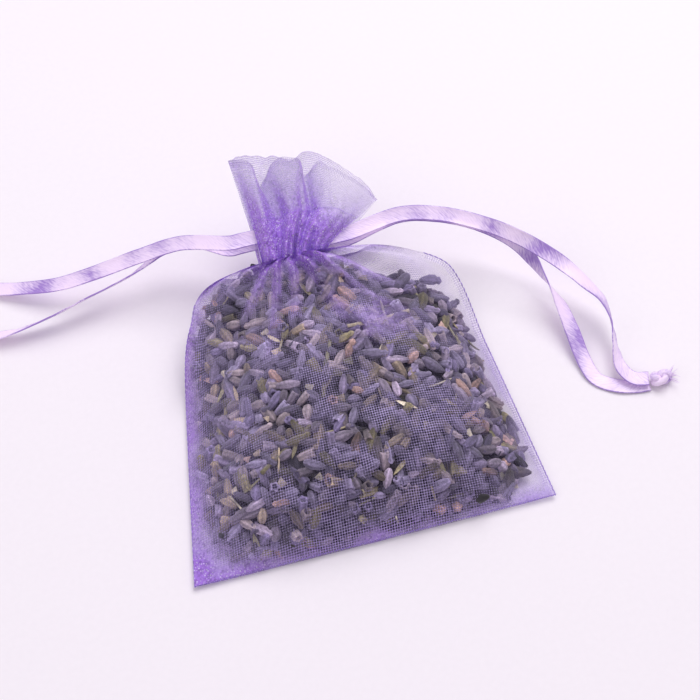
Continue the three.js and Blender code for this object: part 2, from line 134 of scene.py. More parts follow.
# Free edge of the frill from the left seam to the right one: across, along and out of a plane that
# leans back by 45 degrees from the top of the casing, in millimetres.
FRILL_LEAN = math.radians(45)
FRONT_EDGE = [
    (-8.3, 14.1, 0), (-6.2, 14.2, 2.5), (-4.3, 13.0, 3), (-3.1, 7.6, -0.5), (0.3, 12.8, 3), (2.8, 13.0, 4),
    (5.3, 11.4, 2.5), (6.1, 7.5, -1), (8.5, 10.4, 3), (12.4, 8.1, 4.5), (16.1, 4.6, 3), (19.4, 0.1, 0),
]
REAR_EDGE = [
    (-8.3, 14.1, 0), (-5.3, 14.0, -3), (-1.9, 13.1, -4), (1.2, 12.7, -2), (3.9, 11.4, -1), (7.7, 12.1, -3.5),
    (10.8, 10.4, -4.5), (14.8, 6.9, -4), (17.8, 3.6, -2.5), (19.4, 0.1, 0),
]

# Places across the cloth, from -1 to 1, between which the casing puffs out and runs on into the frill.
PUFFS = (-1, -0.54, 0.166, 1)

# Long folds that run down from the neck: across at the neck, across at the end, place of the end along
# the body, height and half width, in millimetres.
FOLDS = [
    (-5.6, -17.8, 43.0, 1.7, 0.8),
    (-3.8, -11.3, 35.0, 2.0, 0.7),
    (-0.6, -5.2, 40.0, 2.0, 0.7),
    (1.6, 9.2, 31.0, 2.3, 0.9),
    (3.6, 15.2, 41.0, 1.8, 0.8),
    (5.6, 22.2, 44.0, 1.3, 0.9),
]
# Patch of doubled cloth beside the longest fold: across, along, half width and half length.
DOUBLED = (12.2, 39.0, 6.0, 5.0)

# Outline of the heap of buds: place along the body, left edge and right edge, in millimetres.
HEAP_OUTLINE = [
    (1.6, -23, 27), (2.6, -26, 29.4), (4.2, -28, 30.8), (6.5, -29.8, 31.8), (10, -30.6, 32.2),
    (16, -30.2, 31.6), (24, -29, 30.8), (33, -27.8, 30.2), (41, -26.8, 29.6), (44, -26.2, 29),
    (46, -25.6, 28), (48, -24.8, 25), (50, -23.6, 20), (53, -20.8, 10.5), (55, -17.5, 5), (57.2, -11, 1),
]
# Layers of buds: name, depth under the cloth in millimetres, size, and the furthest lean in radians.
BUD_LAYERS = (("lavender_bed", 0.9, 0.92, 0.8), ("lavender_deep", 2.4, 1.0, 0.5))
# Depth of the core, a closed shell painted dark as the shade deep in the heap.
CORE_SINK = 3.0
SEED_STEP = 20

# Buds lie this far inside the seams' outer edges and this high over the rear cloth; none is raised by more
# than BUD_RAISE for it.
BUD_INSET = 0.9
BUD_FLOOR = 0.35
BUD_RAISE = 4.0

# Routes of the ribbons past their straight stretch, as in the solids: across and along from the middle
# of the casing, height over the table in millimetres, and roll in degrees.
ROUTES = {
    "right_front_strand": [
        (22.8, -0.8, 13.7, 25), (30.4, -2.9, 13.7, 20), (37.8, -6.2, 12.4, 25), (44.4, -10.4, 10.8, 40),
        (51, -17, 9, 15), (54.8, -22.2, 7.4, -15), (57.3, -26.3, 6, -45), (57.8, -30.5, 4.4, -80),
        (57.1, -35.4, 2.9, -60), (56.9, -39.6, 1.9, -20), (58.6, -42.4, 1.5, 0), (61.4, -43.3, 1.5, 0),
    ],
    "right_rear_strand": [
        (22.8, -0.2, 12.3, 25), (30.4, -2.3, 12.4, 20), (37.8, -5.7, 11.2, 25), (43.6, -10.2, 9.5, 35),
        (46.3, -14.2, 7.8, 60), (47.9, -18.7, 6.3, 100), (49.4, -23.9, 4.5, 150), (50.1, -29.5, 2.9, 178),
        (50.6, -35.3, 1.2, 180), (51.7, -39.8, 0.4, 180), (55.2, -42.6, 0.4, 180), (59, -43.7, 0.4, 180),
        (61.4, -43.9, 0.4, 180),
    ],
    "left_front_strand": [
        (-20.9, 4.9, 12.4, -20), (-29.1, 5.7, 10, -20), (-37.4, 6.2, 7.2, -15), (-45.7, 7.2, 4.4, -10),
        (-53.6, 9.7, 2.1, 0), (-61.5, 12.6, 0.6, 0), (-69.4, 14.2, 0.4, 0), (-77.6, 13.8, 0.4, 0),
    ],
    "left_rear_strand": [
        (-17.2, 5.3, 10.8, -10), (-23.2, 6.1, 9.8, 20), (-31.6, 3.8, 6.7, 60), (-40.4, 2.2, 5, 60),
        (-49.1, 0.6, 3.4, 60), (-56.5, 0, 2.2, 45), (-63, 1, 1, 10), (-69.2, 3.4, 0.5, 0),
        (-74, 6.6, 0.5, 0), (-77.6, 9.4, 0.5, 0),
    ],
}
KNOTS = {"left": (-79.7, 11.8, 1.6), "right": (63.7, -43.7, 1.6)}
SIDES = {"left": -1, "right": 1}


def linear(code):
    """Colour of an sRGB hex value in linear light."""
    parts = [int(code[i : i + 2], 16) / 255 for i in (1, 3, 5)]
    return tuple(c / 12.92 if c <= 0.04045 else ((c + 0.055) / 1.055) ** 2.4 for c in parts)


def length(name, description, millimetres):
    """Property that holds a length."""
    return FloatProperty(
        name=name, description=description, default=millimetres * MM, min=0, unit="LENGTH", precision=4
    )


def colour(name, description, code):
    """Property that holds a colour."""
    return FloatVectorProperty(
        name=name, description=description, default=linear(code), size=3, min=0, max=1, subtype="COLOR"
    )


class SachetBag(bpy.types.PropertyGroup):
    """Sizes and colours of the organza bag."""

    width: length("Width", "Width of the bag between its side edges", 70)
    body: length("Body", "Length of the bag from the bottom edge to the casing", 58)
    belly: length("Belly", "Height of the filled bag over the table", 15)
    shoulder: length("Shoulder", "Width that the sides would narrow to at the casing", 55)
    neck: length("Neck", "Width of the gathered cloth under the casing", 13)
    flare: length("Flare", "Width of the gathered cloth over the casing", 21)
    thread_pitch: length("Thread Pitch", "Spacing of the organza's threads", 0.5)
    stitch: length("Stitch", "Length of one seam stitch", 1.1)
    thread: length("Thread", "Diameter of the overlocked edge", 0.24)
    organza: colour("Organza", "Colour of a single layer of organza", "#cbb8ee")
    gathered: colour("Gathered Organza", "Colour of organza in dense gathers", "#a676de")
    seam: colour("Seam Thread", "Colour of the sewing thread", "#977ad0")


class SachetRibbon(bpy.types.PropertyGroup):
    """Size and colours of the drawstrings."""

    width: length("Width", "Width of the ribbon", 3)
    thickness: length("Thickness", "Thickness of the ribbon", 0.22)
    satin: colour("Satin", "Colour of the ribbon's face", "#e8d1f6")
    # The shade colour is painted shade: the ribbon's colour where its lengths turn away from the light.
    shade: colour("Shade", "Colour of the ribbon between its floats", "#a482d0")


class SachetLavender(bpy.types.PropertyGroup):
    """Sizes and colours of the dried lavender."""

    bud_length: length("Bud Length", "Length of one dried bud", 5)
    bud_width: length("Bud Width", "Width of one dried bud", 2.1)
    spacing: length("Spacing", "Least distance between two buds of one layer", 1.7)
    seed: IntProperty(name="Seed", description="Seed of the scatter", default=7, min=0)


class SachetStage(bpy.types.PropertyGroup):
    """Floor, light and camera."""

    floor: colour("Floor", "Colour of the floor", "#f4edf3")
    azimuth: FloatProperty(
        name="Azimuth", description="Turn of the camera", default=math.radians(-15.5), subtype="ANGLE"
    )
    elevation: FloatProperty(
        name="Elevation", description="Height angle of the camera", default=math.radians(60), subtype="ANGLE"
    )
    distance: length("Distance", "Distance from the camera to the sachet", 350)
    key: FloatProperty(
        name="Key Light", description="Power of the key light", default=3.4, min=0, unit="POWER"
    )


class SachetSettings(bpy.types.PropertyGroup):
    """All settings of the sachet."""

    bag: PointerProperty(type=SachetBag)
    ribbon: PointerProperty(type=SachetRibbon)
    lavender: PointerProperty(type=SachetLavender)
    stage: PointerProperty(type=SachetStage)


def add_node(tree, kind, settings=None, links=None):
    """Add a node, set its properties and sockets, and link its inputs."""
    node = tree.nodes.new(kind)
    for key, value in (settings or {}).items():
        if isinstance(key, str) and hasattr(node, key):
            setattr(node, key, value)
        else:
            node.inputs[key].default_value = value
    for key, source in (links or {}).items():
        tree.links.new(source, node.inputs[key])
    return node


def new_finish(name):
    """Empty material with its shader, and the material's tree and shader node."""
    material = bpy.data.materials.new(name)
    material.use_nodes = True
    tree = material.node_tree
    tree.nodes.clear()
    shader = add_node(tree, "ShaderNodeBsdfPrincipled")
    add_node(tree, "ShaderNodeOutputMaterial", links={"Surface": shader.outputs["BSDF"]})
    return material, tree, shader


def set_stops(band, stops, interpolation="LINEAR"):
    """Give a band of colours its stops, each a place and a linear colour."""
    band.interpolation = interpolation
    while len(band.elements) < len(stops):
        band.elements.new(1.0)
    for element, (place, tone) in zip(band.elements, stops):
        element.position = place
        element.color = (*tone, 1)


def thread_mask(tree, distance, pitch, share):
    """Mask of evenly spaced threads over a distance: 1 on a thread and 0 between two."""
    phase = add_node(tree, MATH, {"operation": "PINGPONG", 1: pitch / 2}, {0: distance})
    edge = pitch / 2 * share
    mask = add_node(
        tree,
        RANGE,
        {"interpolation_type": "SMOOTHSTEP", 1: edge * 0.6, 2: edge * 1.4, 3: 1.0, 4: 0.0},
        {0: phase.outputs[0]},
    )
    return mask.outputs[0]


def organza_finish(tree, shader, settings):
    """Nylon organza, a plain weave of smooth filaments: a pale net that is clear between its threads, deep
    violet where it is gathered, with white glints where filaments catch the light."""
    bag = settings.bag
    # The real threads lie about 0.2 mm apart, too fine to show, so the weave is drawn coarser.
    pitch = bag.thread_pitch / MM
    thread_share = 0.36
    closed_share = 0.4
    even_cover = 0.2
    clearest = 0.995
    cloth = add_node(tree, "ShaderNodeAttribute", {"attribute_name": "cloth"})
    flat = add_node(tree, "ShaderNodeSeparateXYZ", links={0: cloth.outputs["Vector"]})
    across = flat.outputs["X"]
    along = flat.outputs["Y"]
    density = flat.outputs["Z"]
    # The cover drifts in patches of about 8 mm.
    patches = add_node(
        tree, "ShaderNodeTexNoise", {"Scale": 0.12, "Detail": 2.0}, {"Vector": cloth.outputs["Vector"]}
    )
    drift = patches.outputs["Fac"]
    # The net shows best low on the belly, where it stands off the buds: its threads are drawn denser there,
    # and the buds' shade under it is painted between them.
    belly_middle = (38.0, 15.0, 0.0)
    belly_inner = 12.0
    belly_outer = 30.0
    spot = add_node(tree, "ShaderNodeCombineXYZ", links={0: across, 1: along})
    reach = add_node(
        tree, "ShaderNodeVectorMath", {"operation": "DISTANCE", 1: belly_middle}, {0: spot.outputs[0]}
    )
    belly = add_node(
        tree,
        RANGE,
        {"interpolation_type": "SMOOTHSTEP", 1: belly_inner, 2: belly_outer, 3: 1.0, 4: 0.0},
        {0: reach.outputs["Value"]},
    )
    drifting = add_node(tree, RANGE, {1: 0.38, 2: 0.64, 3: 0.02, 4: 0.25}, {0: drift})
    # The cover is even along the bottom and left edges, and in the casing and the frill.
    evens = [
        add_node(tree, RANGE, {1: start, 2: full}, {0: distance}).outputs[0]
        for distance, start, full in ((along, 10.0, 3.0), (across, 12.0, 4.0), (along, 56.0, 64.0))
    ]
    even = evens[0]
    for other in evens[1:]:
        even = add_node(tree, MATH, {"operation": "MAXIMUM"}, {0: even, 1: other}).outputs[0]
    evened = add_node(
        tree, "ShaderNodeMix", {"data_type": "FLOAT", 3: even_cover}, {0: even, 2: drifting.outputs[0]}
    )
    patch = add_node(tree, RANGE, {1: 0.4, 2: 0.58, 3: 0.0, 4: 0.72}, {0: drift})
    shadow = add_node(tree, MATH, {"operation": "MULTIPLY"}, {0: patch.outputs[0], 1: belly.outputs[0]})
    thread_cover = add_node(
        tree, MATH, {"operation": "MULTIPLY_ADD", 1: 0.26}, {0: shadow.outputs[0], 2: evened.outputs[0]}
    )
    # The net closes up where the cloth is gathered, and is a plain haze on the empty margin at the right.
    crowded = add_node(tree, RANGE, {"interpolation_type": "SMOOTHSTEP", 1: 1.8, 2: 4.5}, {0: density})
    margin = add_node(tree, RANGE, {1: 56.0, 2: 64.0}, {0: across})
    closing = add_node(tree, MATH, {"operation": "MAXIMUM"}, {0: crowded.outputs[0], 1: margin.outputs[0]})
    clear = None
    hole_shade = shadow.outputs[0]
    for distance in (across, along):
        mask = thread_mask(tree, distance, pitch, thread_share)
        between = add_node(tree, MATH, {"operation": "SUBTRACT", 0: 1.0}, {1: mask})
        hole_shade = add_node(tree, MATH, {"operation": "MULTIPLY"}, {0: hole_shade, 1: between.outputs[0]}).outputs[0]
        closed = add_node(
            tree, "ShaderNodeMix", {"data_type": "FLOAT", 3: closed_share}, {0: closing.outputs[0], 2: mask}
        )
        covered = add_node(
            tree, MATH, {"operation": "MULTIPLY"}, {0: closed.outputs[0], 1: thread_cover.outputs[0]}
        )
        bare = add_node(tree, MATH, {"operation": "SUBTRACT", 0: clearest}, {1: covered.outputs[0]})
        if clear is not None:
            bare = add_node(tree, MATH, {"operation": "MULTIPLY"}, {0: clear, 1: bare.outputs[0]})
        clear = bare.outputs[0]
    through = add_node(tree, MATH, {"operation": "POWER"}, {0: clear, 1: density})
    cover = add_node(tree, MATH, {"operation": "SUBTRACT", 0: 1.0}, {1: through.outputs[0]})
    depth = add_node(tree, RANGE, {1: 1.2, 2: 7.0}, {0: density})
    tone = add_node(tree, RAMP, links={"Fac": depth.outputs[0]})
    set_stops(tone.color_ramp, [(0.0, tuple(bag.organza)), (1.0, tuple(bag.gathered))])
    # Glints lie about 0.4 mm apart; some filaments lie in the shade instead.
    place = add_node(tree, "ShaderNodeTexCoord")
    cells = add_node(tree, "ShaderNodeTexVoronoi", {"Scale": 2600.0}, {"Vector": place.outputs["Object"]})
    dot = add_node(
        tree,
        RANGE,
        {"interpolation_type": "SMOOTHSTEP", 1: 0.16, 2: 0.52, 3: 1.0, 4: 0.0},
        {0: cells.outputs["Distance"]},
    )
    chance = add_node(tree, "ShaderNodeSeparateXYZ", links={0: cells.outputs["Color"]})
    chosen = add_node(tree, RANGE, {1: 0.1, 2: 0.8}, {0: chance.outputs["X"]})
    strength = add_node(tree, RANGE, {1: 1.0, 2: 6.5, 3: 0.04, 4: 0.8}, {0: density})
    painted_highlight = add_node(tree, MATH, {"operation": "MULTIPLY"}, {0: chosen.outputs[0], 1: strength.outputs[0]})
    glint = add_node(tree, MATH, {"operation": "MULTIPLY"}, {0: dot.outputs[0], 1: painted_highlight.outputs[0]})
    dusk = add_node(tree, RANGE, {1: 0.0, 2: 0.5, 3: 0.62, 4: 1.08}, {0: chance.outputs["Y"]})
    shaded = add_node(
        tree, "ShaderNodeVectorMath", {"operation": "SCALE"}, {0: tone.outputs[0], "Scale": dusk.outputs[0]}
    )
    lit = add_node(
        tree,
        "ShaderNodeMix",
        {"data_type": "RGBA", 7: (*linear("#f3edff"), 1)},
        {0: glint.outputs[0], 6: shaded.outputs[0]},
    )
    # Between the threads the net is painted dark, as painted shade on the buds under it.
    open_net = add_node(tree, MATH, {"operation": "SUBTRACT", 0: 1.0}, {1: closing.outputs[0]})
    shade = add_node(tree, MATH, {"operation": "MULTIPLY"}, {0: hole_shade, 1: open_net.outputs[0]})
    dark = add_node(tree, RANGE, {1: 0.0, 2: 0.12}, {0: shade.outputs[0]})
    netted = add_node(
        tree,
        "ShaderNodeMix",
        {"data_type": "RGBA", 7: (*linear("#1d1430"), 1)},
        {0: dark.outputs[0], 6: lit.outputs[2]},
    )
    filled = add_node(tree, MATH, {"operation": "MAXIMUM"}, {0: cover.outputs[0], 1: glint.outputs[0]})
    alpha = add_node(tree, MATH, {"operation": "MAXIMUM"}, {0: filled.outputs[0], 1: shade.outputs[0]})
    bump = add_node(tree, "ShaderNodeBump", {"Strength": 0.3, "Distance": 0.1 * MM}, {"Height": clear})
    tree.links.new(netted.outputs[2], shader.inputs["Base Color"])
    tree.links.new(alpha.outputs[0], shader.inputs["Alpha"])
    tree.links.new(bump.outputs[0], shader.inputs["Normal"])
    shader.inputs["Roughness"].default_value = 0.55
    shader.inputs["IOR"].default_value = 1.53
    shader.inputs["Specular IOR Level"].default_value = 0.25
    shader.inputs["Sheen Weight"].default_value = 0.12
    shader.inputs["Sheen Roughness"].default_value = 0.4
    shader.inputs["Sheen Tint"].default_value = (*linear("#e1c4ff"), 1)


def satin_finish(tree, shader, settings):
    """Polyester satin ribbon, woven with long floats: slanting streaks of woven texture and painted sheen,
    lengths painted brighter or darker as painted highlight and shade, with a tighter woven edge on both
    sides."""
    ribbon = settings.ribbon
    cloth = add_node(tree, "ShaderNodeAttribute", {"attribute_name": "cloth"})
    flat = add_node(tree, "ShaderNodeSeparateXYZ", links={0: cloth.outputs["Vector"]})
    # Floats slant along the ribbon; drawn 0.3 mm wide, coarser than real ones. Their streaks are woven
    # texture and painted sheen.
    drawn = add_node(
        tree,
        "ShaderNodeMapping",
        {"vector_type": "TEXTURE", "Scale": (0.3, 1.5, 1.0), "Rotation": (0, 0, 0.65)},
        {"Vector": cloth.outputs["Vector"]},
    )
    floats = add_node(
        tree,
        "ShaderNodeTexNoise",
        {"Scale": 1.0, "Detail": 2.0, "Roughness": 0.5},
        {"Vector": drawn.outputs[0]},
    )
    # Lengths of about 9 mm are painted lighter or darker, as painted light and shade where they lean to the
    # light or away from it.
    lengths = add_node(
        tree, "ShaderNodeMapping", {"Scale": (0.12, 0.11, 1.0)}, {"Vector": cloth.outputs["Vector"]}
    )
    painted_light_lengths = add_node(
        tree, "ShaderNodeTexNoise", {"Scale": 1.0, "Detail": 1.0}, {"Vector": lengths.outputs[0]}
    )
    across = add_node(tree, MATH, {"operation": "ABSOLUTE"}, {0: flat.outputs["X"]})
    half = ribbon.width / MM / 2
    edge = add_node(
        tree,
        RANGE,
        {"interpolation_type": "SMOOTHSTEP", 1: half * 0.84, 2: half * 0.96, 3: 0.0, 4: 0.5},
        {0: across.outputs[0]},
    )
    wide = add_node(tree, RANGE, {1: 0.3, 2: 0.7, 3: 0.0, 4: 1.0}, {0: painted_light_lengths.outputs["Fac"]})
    fine = add_node(tree, RANGE, {1: 0.3, 2: 0.7, 3: 0.0, 4: 0.38}, {0: floats.outputs["Fac"]})
    painted_light_and_floats = add_node(tree, MATH, {"operation": "ADD"}, {0: wide.outputs[0], 1: fine.outputs[0]})
    face_tone = add_node(tree, MATH, {"operation": "SUBTRACT"}, {0: painted_light_and_floats.outputs[0], 1: edge.outputs[0]})
    face = tuple(ribbon.satin)
    # The bright end of the ribbon's tones is a painted highlight.
    painted_highlight = tuple(min(1.0, c * 1.1 + 0.06) for c in face)
    tone = add_node(tree, RAMP, links={"Fac": face_tone.outputs[0]})
    set_stops(tone.color_ramp, [(0.2, tuple(ribbon.shade)), (0.62, face), (0.95, painted_highlight)])
    bump = add_node(
        tree, "ShaderNodeBump", {"Strength": 0.4, "Distance": 0.2 * MM}, {"Height": floats.outputs["Fac"]}
    )
    tree.links.new(tone.outputs[0], shader.inputs["Base Color"])
    tree.links.new(bump.outputs[0], shader.inputs["Normal"])
    shader.inputs["Roughness"].default_value = 0.34
    shader.inputs["IOR"].default_value = 1.55
    shader.inputs["Sheen Weight"].default_value = 0.3
    shader.inputs["Sheen Roughness"].default_value = 0.35
    shader.inputs["Anisotropic"].default_value = 0.5


def thread_finish(tree, shader, settings):
    """Spun polyester sewing thread: matt violet, twisted, slightly fuzzy, with painted light and shade on its
    twist.
    """
    # The turns of its twist lie about 0.35 mm apart, painted lighter and darker as light and shade on them.
    place = add_node(tree, "ShaderNodeTexCoord")
    twist = add_node(
        tree, "ShaderNodeTexWave", {"Scale": 900.0, "Distortion": 1.5}, {"Vector": place.outputs["Object"]}
    )
    base = tuple(settings.bag.seam)
    dark = tuple(c * 0.7 for c in base)
    light = tuple(min(1, c * 1.3) for c in base)
    tone = add_node(tree, RAMP, links={"Fac": twist.outputs["Fac"]})
    set_stops(tone.color_ramp, [(0.0, dark), (1.0, light)])
    tree.links.new(tone.outputs[0], shader.inputs["Base Color"])
    shader.inputs["Roughness"].default_value = 0.7
    shader.inputs["Sheen Weight"].default_value = 0.4


def bud_finish(tree, shader, settings):
    """Dried lavender calyx: matt, ribbed and downy, from blue-grey violet to taupe and olive, with straw bits
    and pink petals among them. Painted shade darkens its foot, its open mouth's inside and its rib valleys;
    painted light brightens its rib crests and, with its paler tip, its mouth."""
    tint = add_node(tree, "ShaderNodeAttribute", {"attribute_name": "tint"})
    form = add_node(tree, "ShaderNodeAttribute", {"attribute_name": "form"})
    rib = add_node(tree, "ShaderNodeAttribute", {"attribute_name": "rib"})
    parts = add_node(tree, "ShaderNodeSeparateXYZ", links={0: form.outputs["Vector"]})
    calyx = add_node(tree, RAMP, links={"Fac": tint.outputs["Fac"]})
    set_stops(
        calyx.color_ramp,
        [
            (0.00, linear("#73668b")), (0.14, linear("#8b7f9f")), (0.28, linear("#a190a8")),
            (0.42, linear("#7e708f")), (0.56, linear("#9a8991")), (0.70, linear("#857898")),
            (0.82, linear("#978475")), (0.90, linear("#83785a")), (0.96, linear("#a98780")),
        ],
        "CONSTANT",
    )
    straw = add_node(tree, RAMP, links={"Fac": tint.outputs["Fac"]})
    set_stops(
        straw.color_ramp,
        [
            (0.00, linear("#a5987a")), (0.30, linear("#8b8464")), (0.55, linear("#b39f88")),
            (0.75, linear("#bd9a92")), (0.88, linear("#c3b7a6")),
        ],
        "CONSTANT",
    )
    mixed = add_node(
        tree,
        "ShaderNodeMix",
        {"data_type": "RGBA"},
        {0: parts.outputs["Y"], 6: calyx.outputs[0], 7: straw.outputs[0]},
    )
    # Down and dust, drawn about 0.5 mm wide, coarser than real down.
    place = add_node(tree, "ShaderNodeTexCoord")
    dust = add_node(
        tree,
        "ShaderNodeTexNoise",
        {"Scale": 1900.0, "Detail": 4.0, "Roughness": 0.7},
        {"Vector": place.outputs["Object"]},
    )
    # Each bud has a brightness of its own, drawn from its tint.
    spread = add_node(tree, MATH, {"operation": "MULTIPLY", 1: 17.3}, {0: tint.outputs["Fac"]})
    own = add_node(tree, MATH, {"operation": "FRACT"}, {0: spread.outputs[0]})
    # Its foot is painted darker, as shade among the other buds, and its mouth paler, partly a paler tip and
    # partly a
    #     painted highlight; the valleys and crests of its ribs are painted darker and paler, as shade and
    #     light on them.
    factors = [
        add_node(tree, RANGE, {3: 0.34, 4: 1.62}, {0: own.outputs[0]}),
        add_node(tree, RANGE, {1: 0.0, 2: 0.5, 3: 0.55, 4: 1.0}, {0: parts.outputs["X"]}),
        add_node(tree, RANGE, {1: 0.88, 2: 1.0, 3: 1.0, 4: 1.4}, {0: parts.outputs["X"]}),
        add_node(tree, RANGE, {1: 0.3, 2: 0.7, 3: 0.5, 4: 1.45}, {0: dust.outputs["Fac"]}),
        add_node(tree, RANGE, {3: 0.62, 4: 1.18}, {0: rib.outputs["Fac"]}),
    ]
    shade = parts.outputs["Z"]
    for factor in factors:
        shade = add_node(tree, MATH, {"operation": "MULTIPLY"}, {0: shade, 1: factor.outputs[0]}).outputs[0]
    final = add_node(
        tree, "ShaderNodeVectorMath", {"operation": "SCALE"}, {0: mixed.outputs[2], "Scale": shade}
    )
    bump = add_node(
        tree, "ShaderNodeBump", {"Strength": 0.8, "Distance": 0.15 * MM}, {"Height": dust.outputs["Fac"]}
    )
    tree.links.new(final.outputs[0], shader.inputs["Base Color"])
    tree.links.new(bump.outputs[0], shader.inputs["Normal"])
    shader.inputs["Roughness"].default_value = 0.8
    shader.inputs["Sheen Weight"].default_value = 0.15
    shader.inputs["Sheen Roughness"].default_value = 0.6


def floor_finish(tree, shader, settings):
    """Matt white paper board: plain and pale, with a faint tooth about 1 mm wide."""
    place = add_node(tree, "ShaderNodeTexCoord")
    tooth = add_node(
        tree, "ShaderNodeTexNoise", {"Scale": 900.0, "Detail": 2.0}, {"Vector": place.outputs["Object"]}
    )
    base = tuple(settings.stage.floor)
    tone = add_node(tree, RAMP, links={"Fac": tooth.outputs["Fac"]})
    set_stops(tone.color_ramp, [(0.3, tuple(c * 0.985 for c in base)), (0.7, base)])
    tree.links.new(tone.outputs[0], shader.inputs["Base Color"])
    shader.inputs["Roughness"].default_value = 0.9


FINISHES = {
    "organza": ("Nylon organza", organza_finish),
    "satin": ("Polyester satin ribbon", satin_finish),
    "thread": ("Spun polyester thread", thread_finish),
    "lavender": ("Dried lavender", bud_finish),
    "floor": ("Pale paper board", floor_finish),
}


def finish(name):
    """Material of the sachet, made at its first use."""
    title, dress = FINISHES[name]
    material = bpy.data.materials.get(title)
    if material is None:
        material, tree, shader = new_finish(title)
        dress(tree, shader, bpy.context.scene.sachet)
    return material


def mix(a, b, share):
    """Value between two others."""
    return a + (b - a) * share


def smooth(x, low, high):
    """Smooth step from 0 at the low end to 1 at the high one."""
    share = np.clip((x - low) / (high - low), 0, 1)
    return share * share * (3 - 2 * share)


def bell(distance, reach, power=2):
    """Bell curve: 1 at no distance, falling off over its reach."""
    return np.exp(-((distance / reach) ** power))


def waver(places, scale, row, column):
    """Smooth random numbers from -1 to 1 at places along a line."""
    return np.array([noise.noise(Vector((p * scale, row, column))) for p in places])


def unit(vectors):
    """Vectors at a length of 1."""
    return vectors / np.linalg.norm(vectors, axis=-1, keepdims=True)


def run_along(points):
    """Length along a line of points, at each of them."""
    return np.append(0, np.cumsum(np.linalg.norm(np.diff(points, axis=0), axis=1)))


def grid_faces(rows, columns, closed=False, flipped=False):
    """Quads of a grid of points; closed joins the last column to the first."""
    index = np.arange(rows * columns).reshape(rows, columns)
    if closed:
        index = np.concatenate([index, index[:, :1]], axis=1)
    corners = [index[:-1, :-1], index[:-1, 1:], index[1:, 1:], index[1:, :-1]]
    if flipped:
        corners.reverse()
    return np.stack(corners, -1).reshape(-1, 4)


def tube_faces(rows, columns, flipped=False):
    """Faces of a tube of rings, closed at both ends."""
    first = list(range(columns))
    last = list(range((rows - 1) * columns, rows * columns))
    if flipped:
        last.reverse()
    else:
        first.reverse()
    return [*grid_faces(rows, columns, closed=True, flipped=flipped).tolist(), first, last]


def tube(line, wide, thick, turn, width, depth):
    """Rings of points about a line, from its width and thickness directions."""
    across = (np.cos(turn) * width)[:, :, None]
    out = (np.sin(turn) * depth)[:, :, None]
    return line[:, None] + wide[:, None] * across + thick[:, None] * out


def cloth_places(across, along, density):
    """Place across and along a flat cloth in millimetres, and its density, for each point of a grid."""
    return np.stack(np.broadcast_arrays(across[None, :], along[:, None], density), -1)


def add_mesh(name, points, faces, material, attributes=None):
    """Smooth mesh object from points in millimetres, with vector attributes on its points."""
    mesh = bpy.data.meshes.new(name)
    places = np.asarray(points, float).reshape(-1, 3) * MM
    mesh.from_pydata(places.tolist(), [], [list(map(int, f)) for f in faces])
    for key, values in (attributes or {}).items():
        layer = mesh.attributes.new(key, "FLOAT_VECTOR", "POINT")
        layer.data.foreach_set("vector", np.asarray(values, np.float32).ravel())
    mesh.polygons.foreach_set("use_smooth", [True] * len(mesh.polygons))
    mesh.materials.append(material)
    mesh.validate()
    obj = bpy.data.objects.new(name, mesh)
    bpy.context.scene.collection.objects.link(obj)
    return obj


def settle(obj, body, slot, *nodes):
    """Let a finished piece ride on a body and stand for CAD nodes; its slot is not used."""
    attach(obj, body)
    if nodes:
        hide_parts(*nodes)
    return obj


def baked_from_nodes(source, tree, inputs, name):
    """Plain mesh object from a source object and a node tree; inputs are the tree's named sizes."""
    modifier = source.modifiers.new(tree.name, "NODES")
    modifier.node_group = tree
    for item in tree.interface.items_tree:
        if item.item_type == "SOCKET" and item.in_out == "INPUT" and item.name in inputs:
            modifier[item.identifier] = inputs[item.name]
    bpy.context.view_layer.update()
    depsgraph = bpy.context.evaluated_depsgraph_get()
    mesh = bpy.data.meshes.new_from_object(
        source.evaluated_get(depsgraph), preserve_all_data_layers=True, depsgraph=depsgraph
    )
    source.modifiers.remove(modifier)
    old = source.data
    bpy.data.objects.remove(source)
    bpy.data.meshes.remove(old)
    mesh.name = name
    obj = bpy.data.objects.new(name, mesh)
    bpy.context.scene.collection.objects.link(obj)
    return obj


def tree_with(name, sockets):
    """Geometry node tree with named inputs, and its input node."""
    tree = bpy.data.node_groups.new(name, "GeometryNodeTree")
    tree.interface.new_socket("Geometry", in_out="INPUT", socket_type="NodeSocketGeometry")
    for key, kind in sockets.items():
        tree.interface.new_socket(key, in_out="INPUT", socket_type=kind)
    tree.interface.new_socket("Geometry", in_out="OUTPUT", socket_type="NodeSocketGeometry")
    return tree, add_node(tree, "NodeGroupInput")


def end_tree(tree, instances, material):
    """End of a tree: real geometry with its material."""
    real = add_node(tree, "GeometryNodeRealizeInstances", links={0: instances})
    dressed = add_node(tree, "GeometryNodeSetMaterial", {"Material": material}, {"Geometry": real.outputs[0]})
    add_node(tree, "NodeGroupOutput", links={0: dressed.outputs[0]})


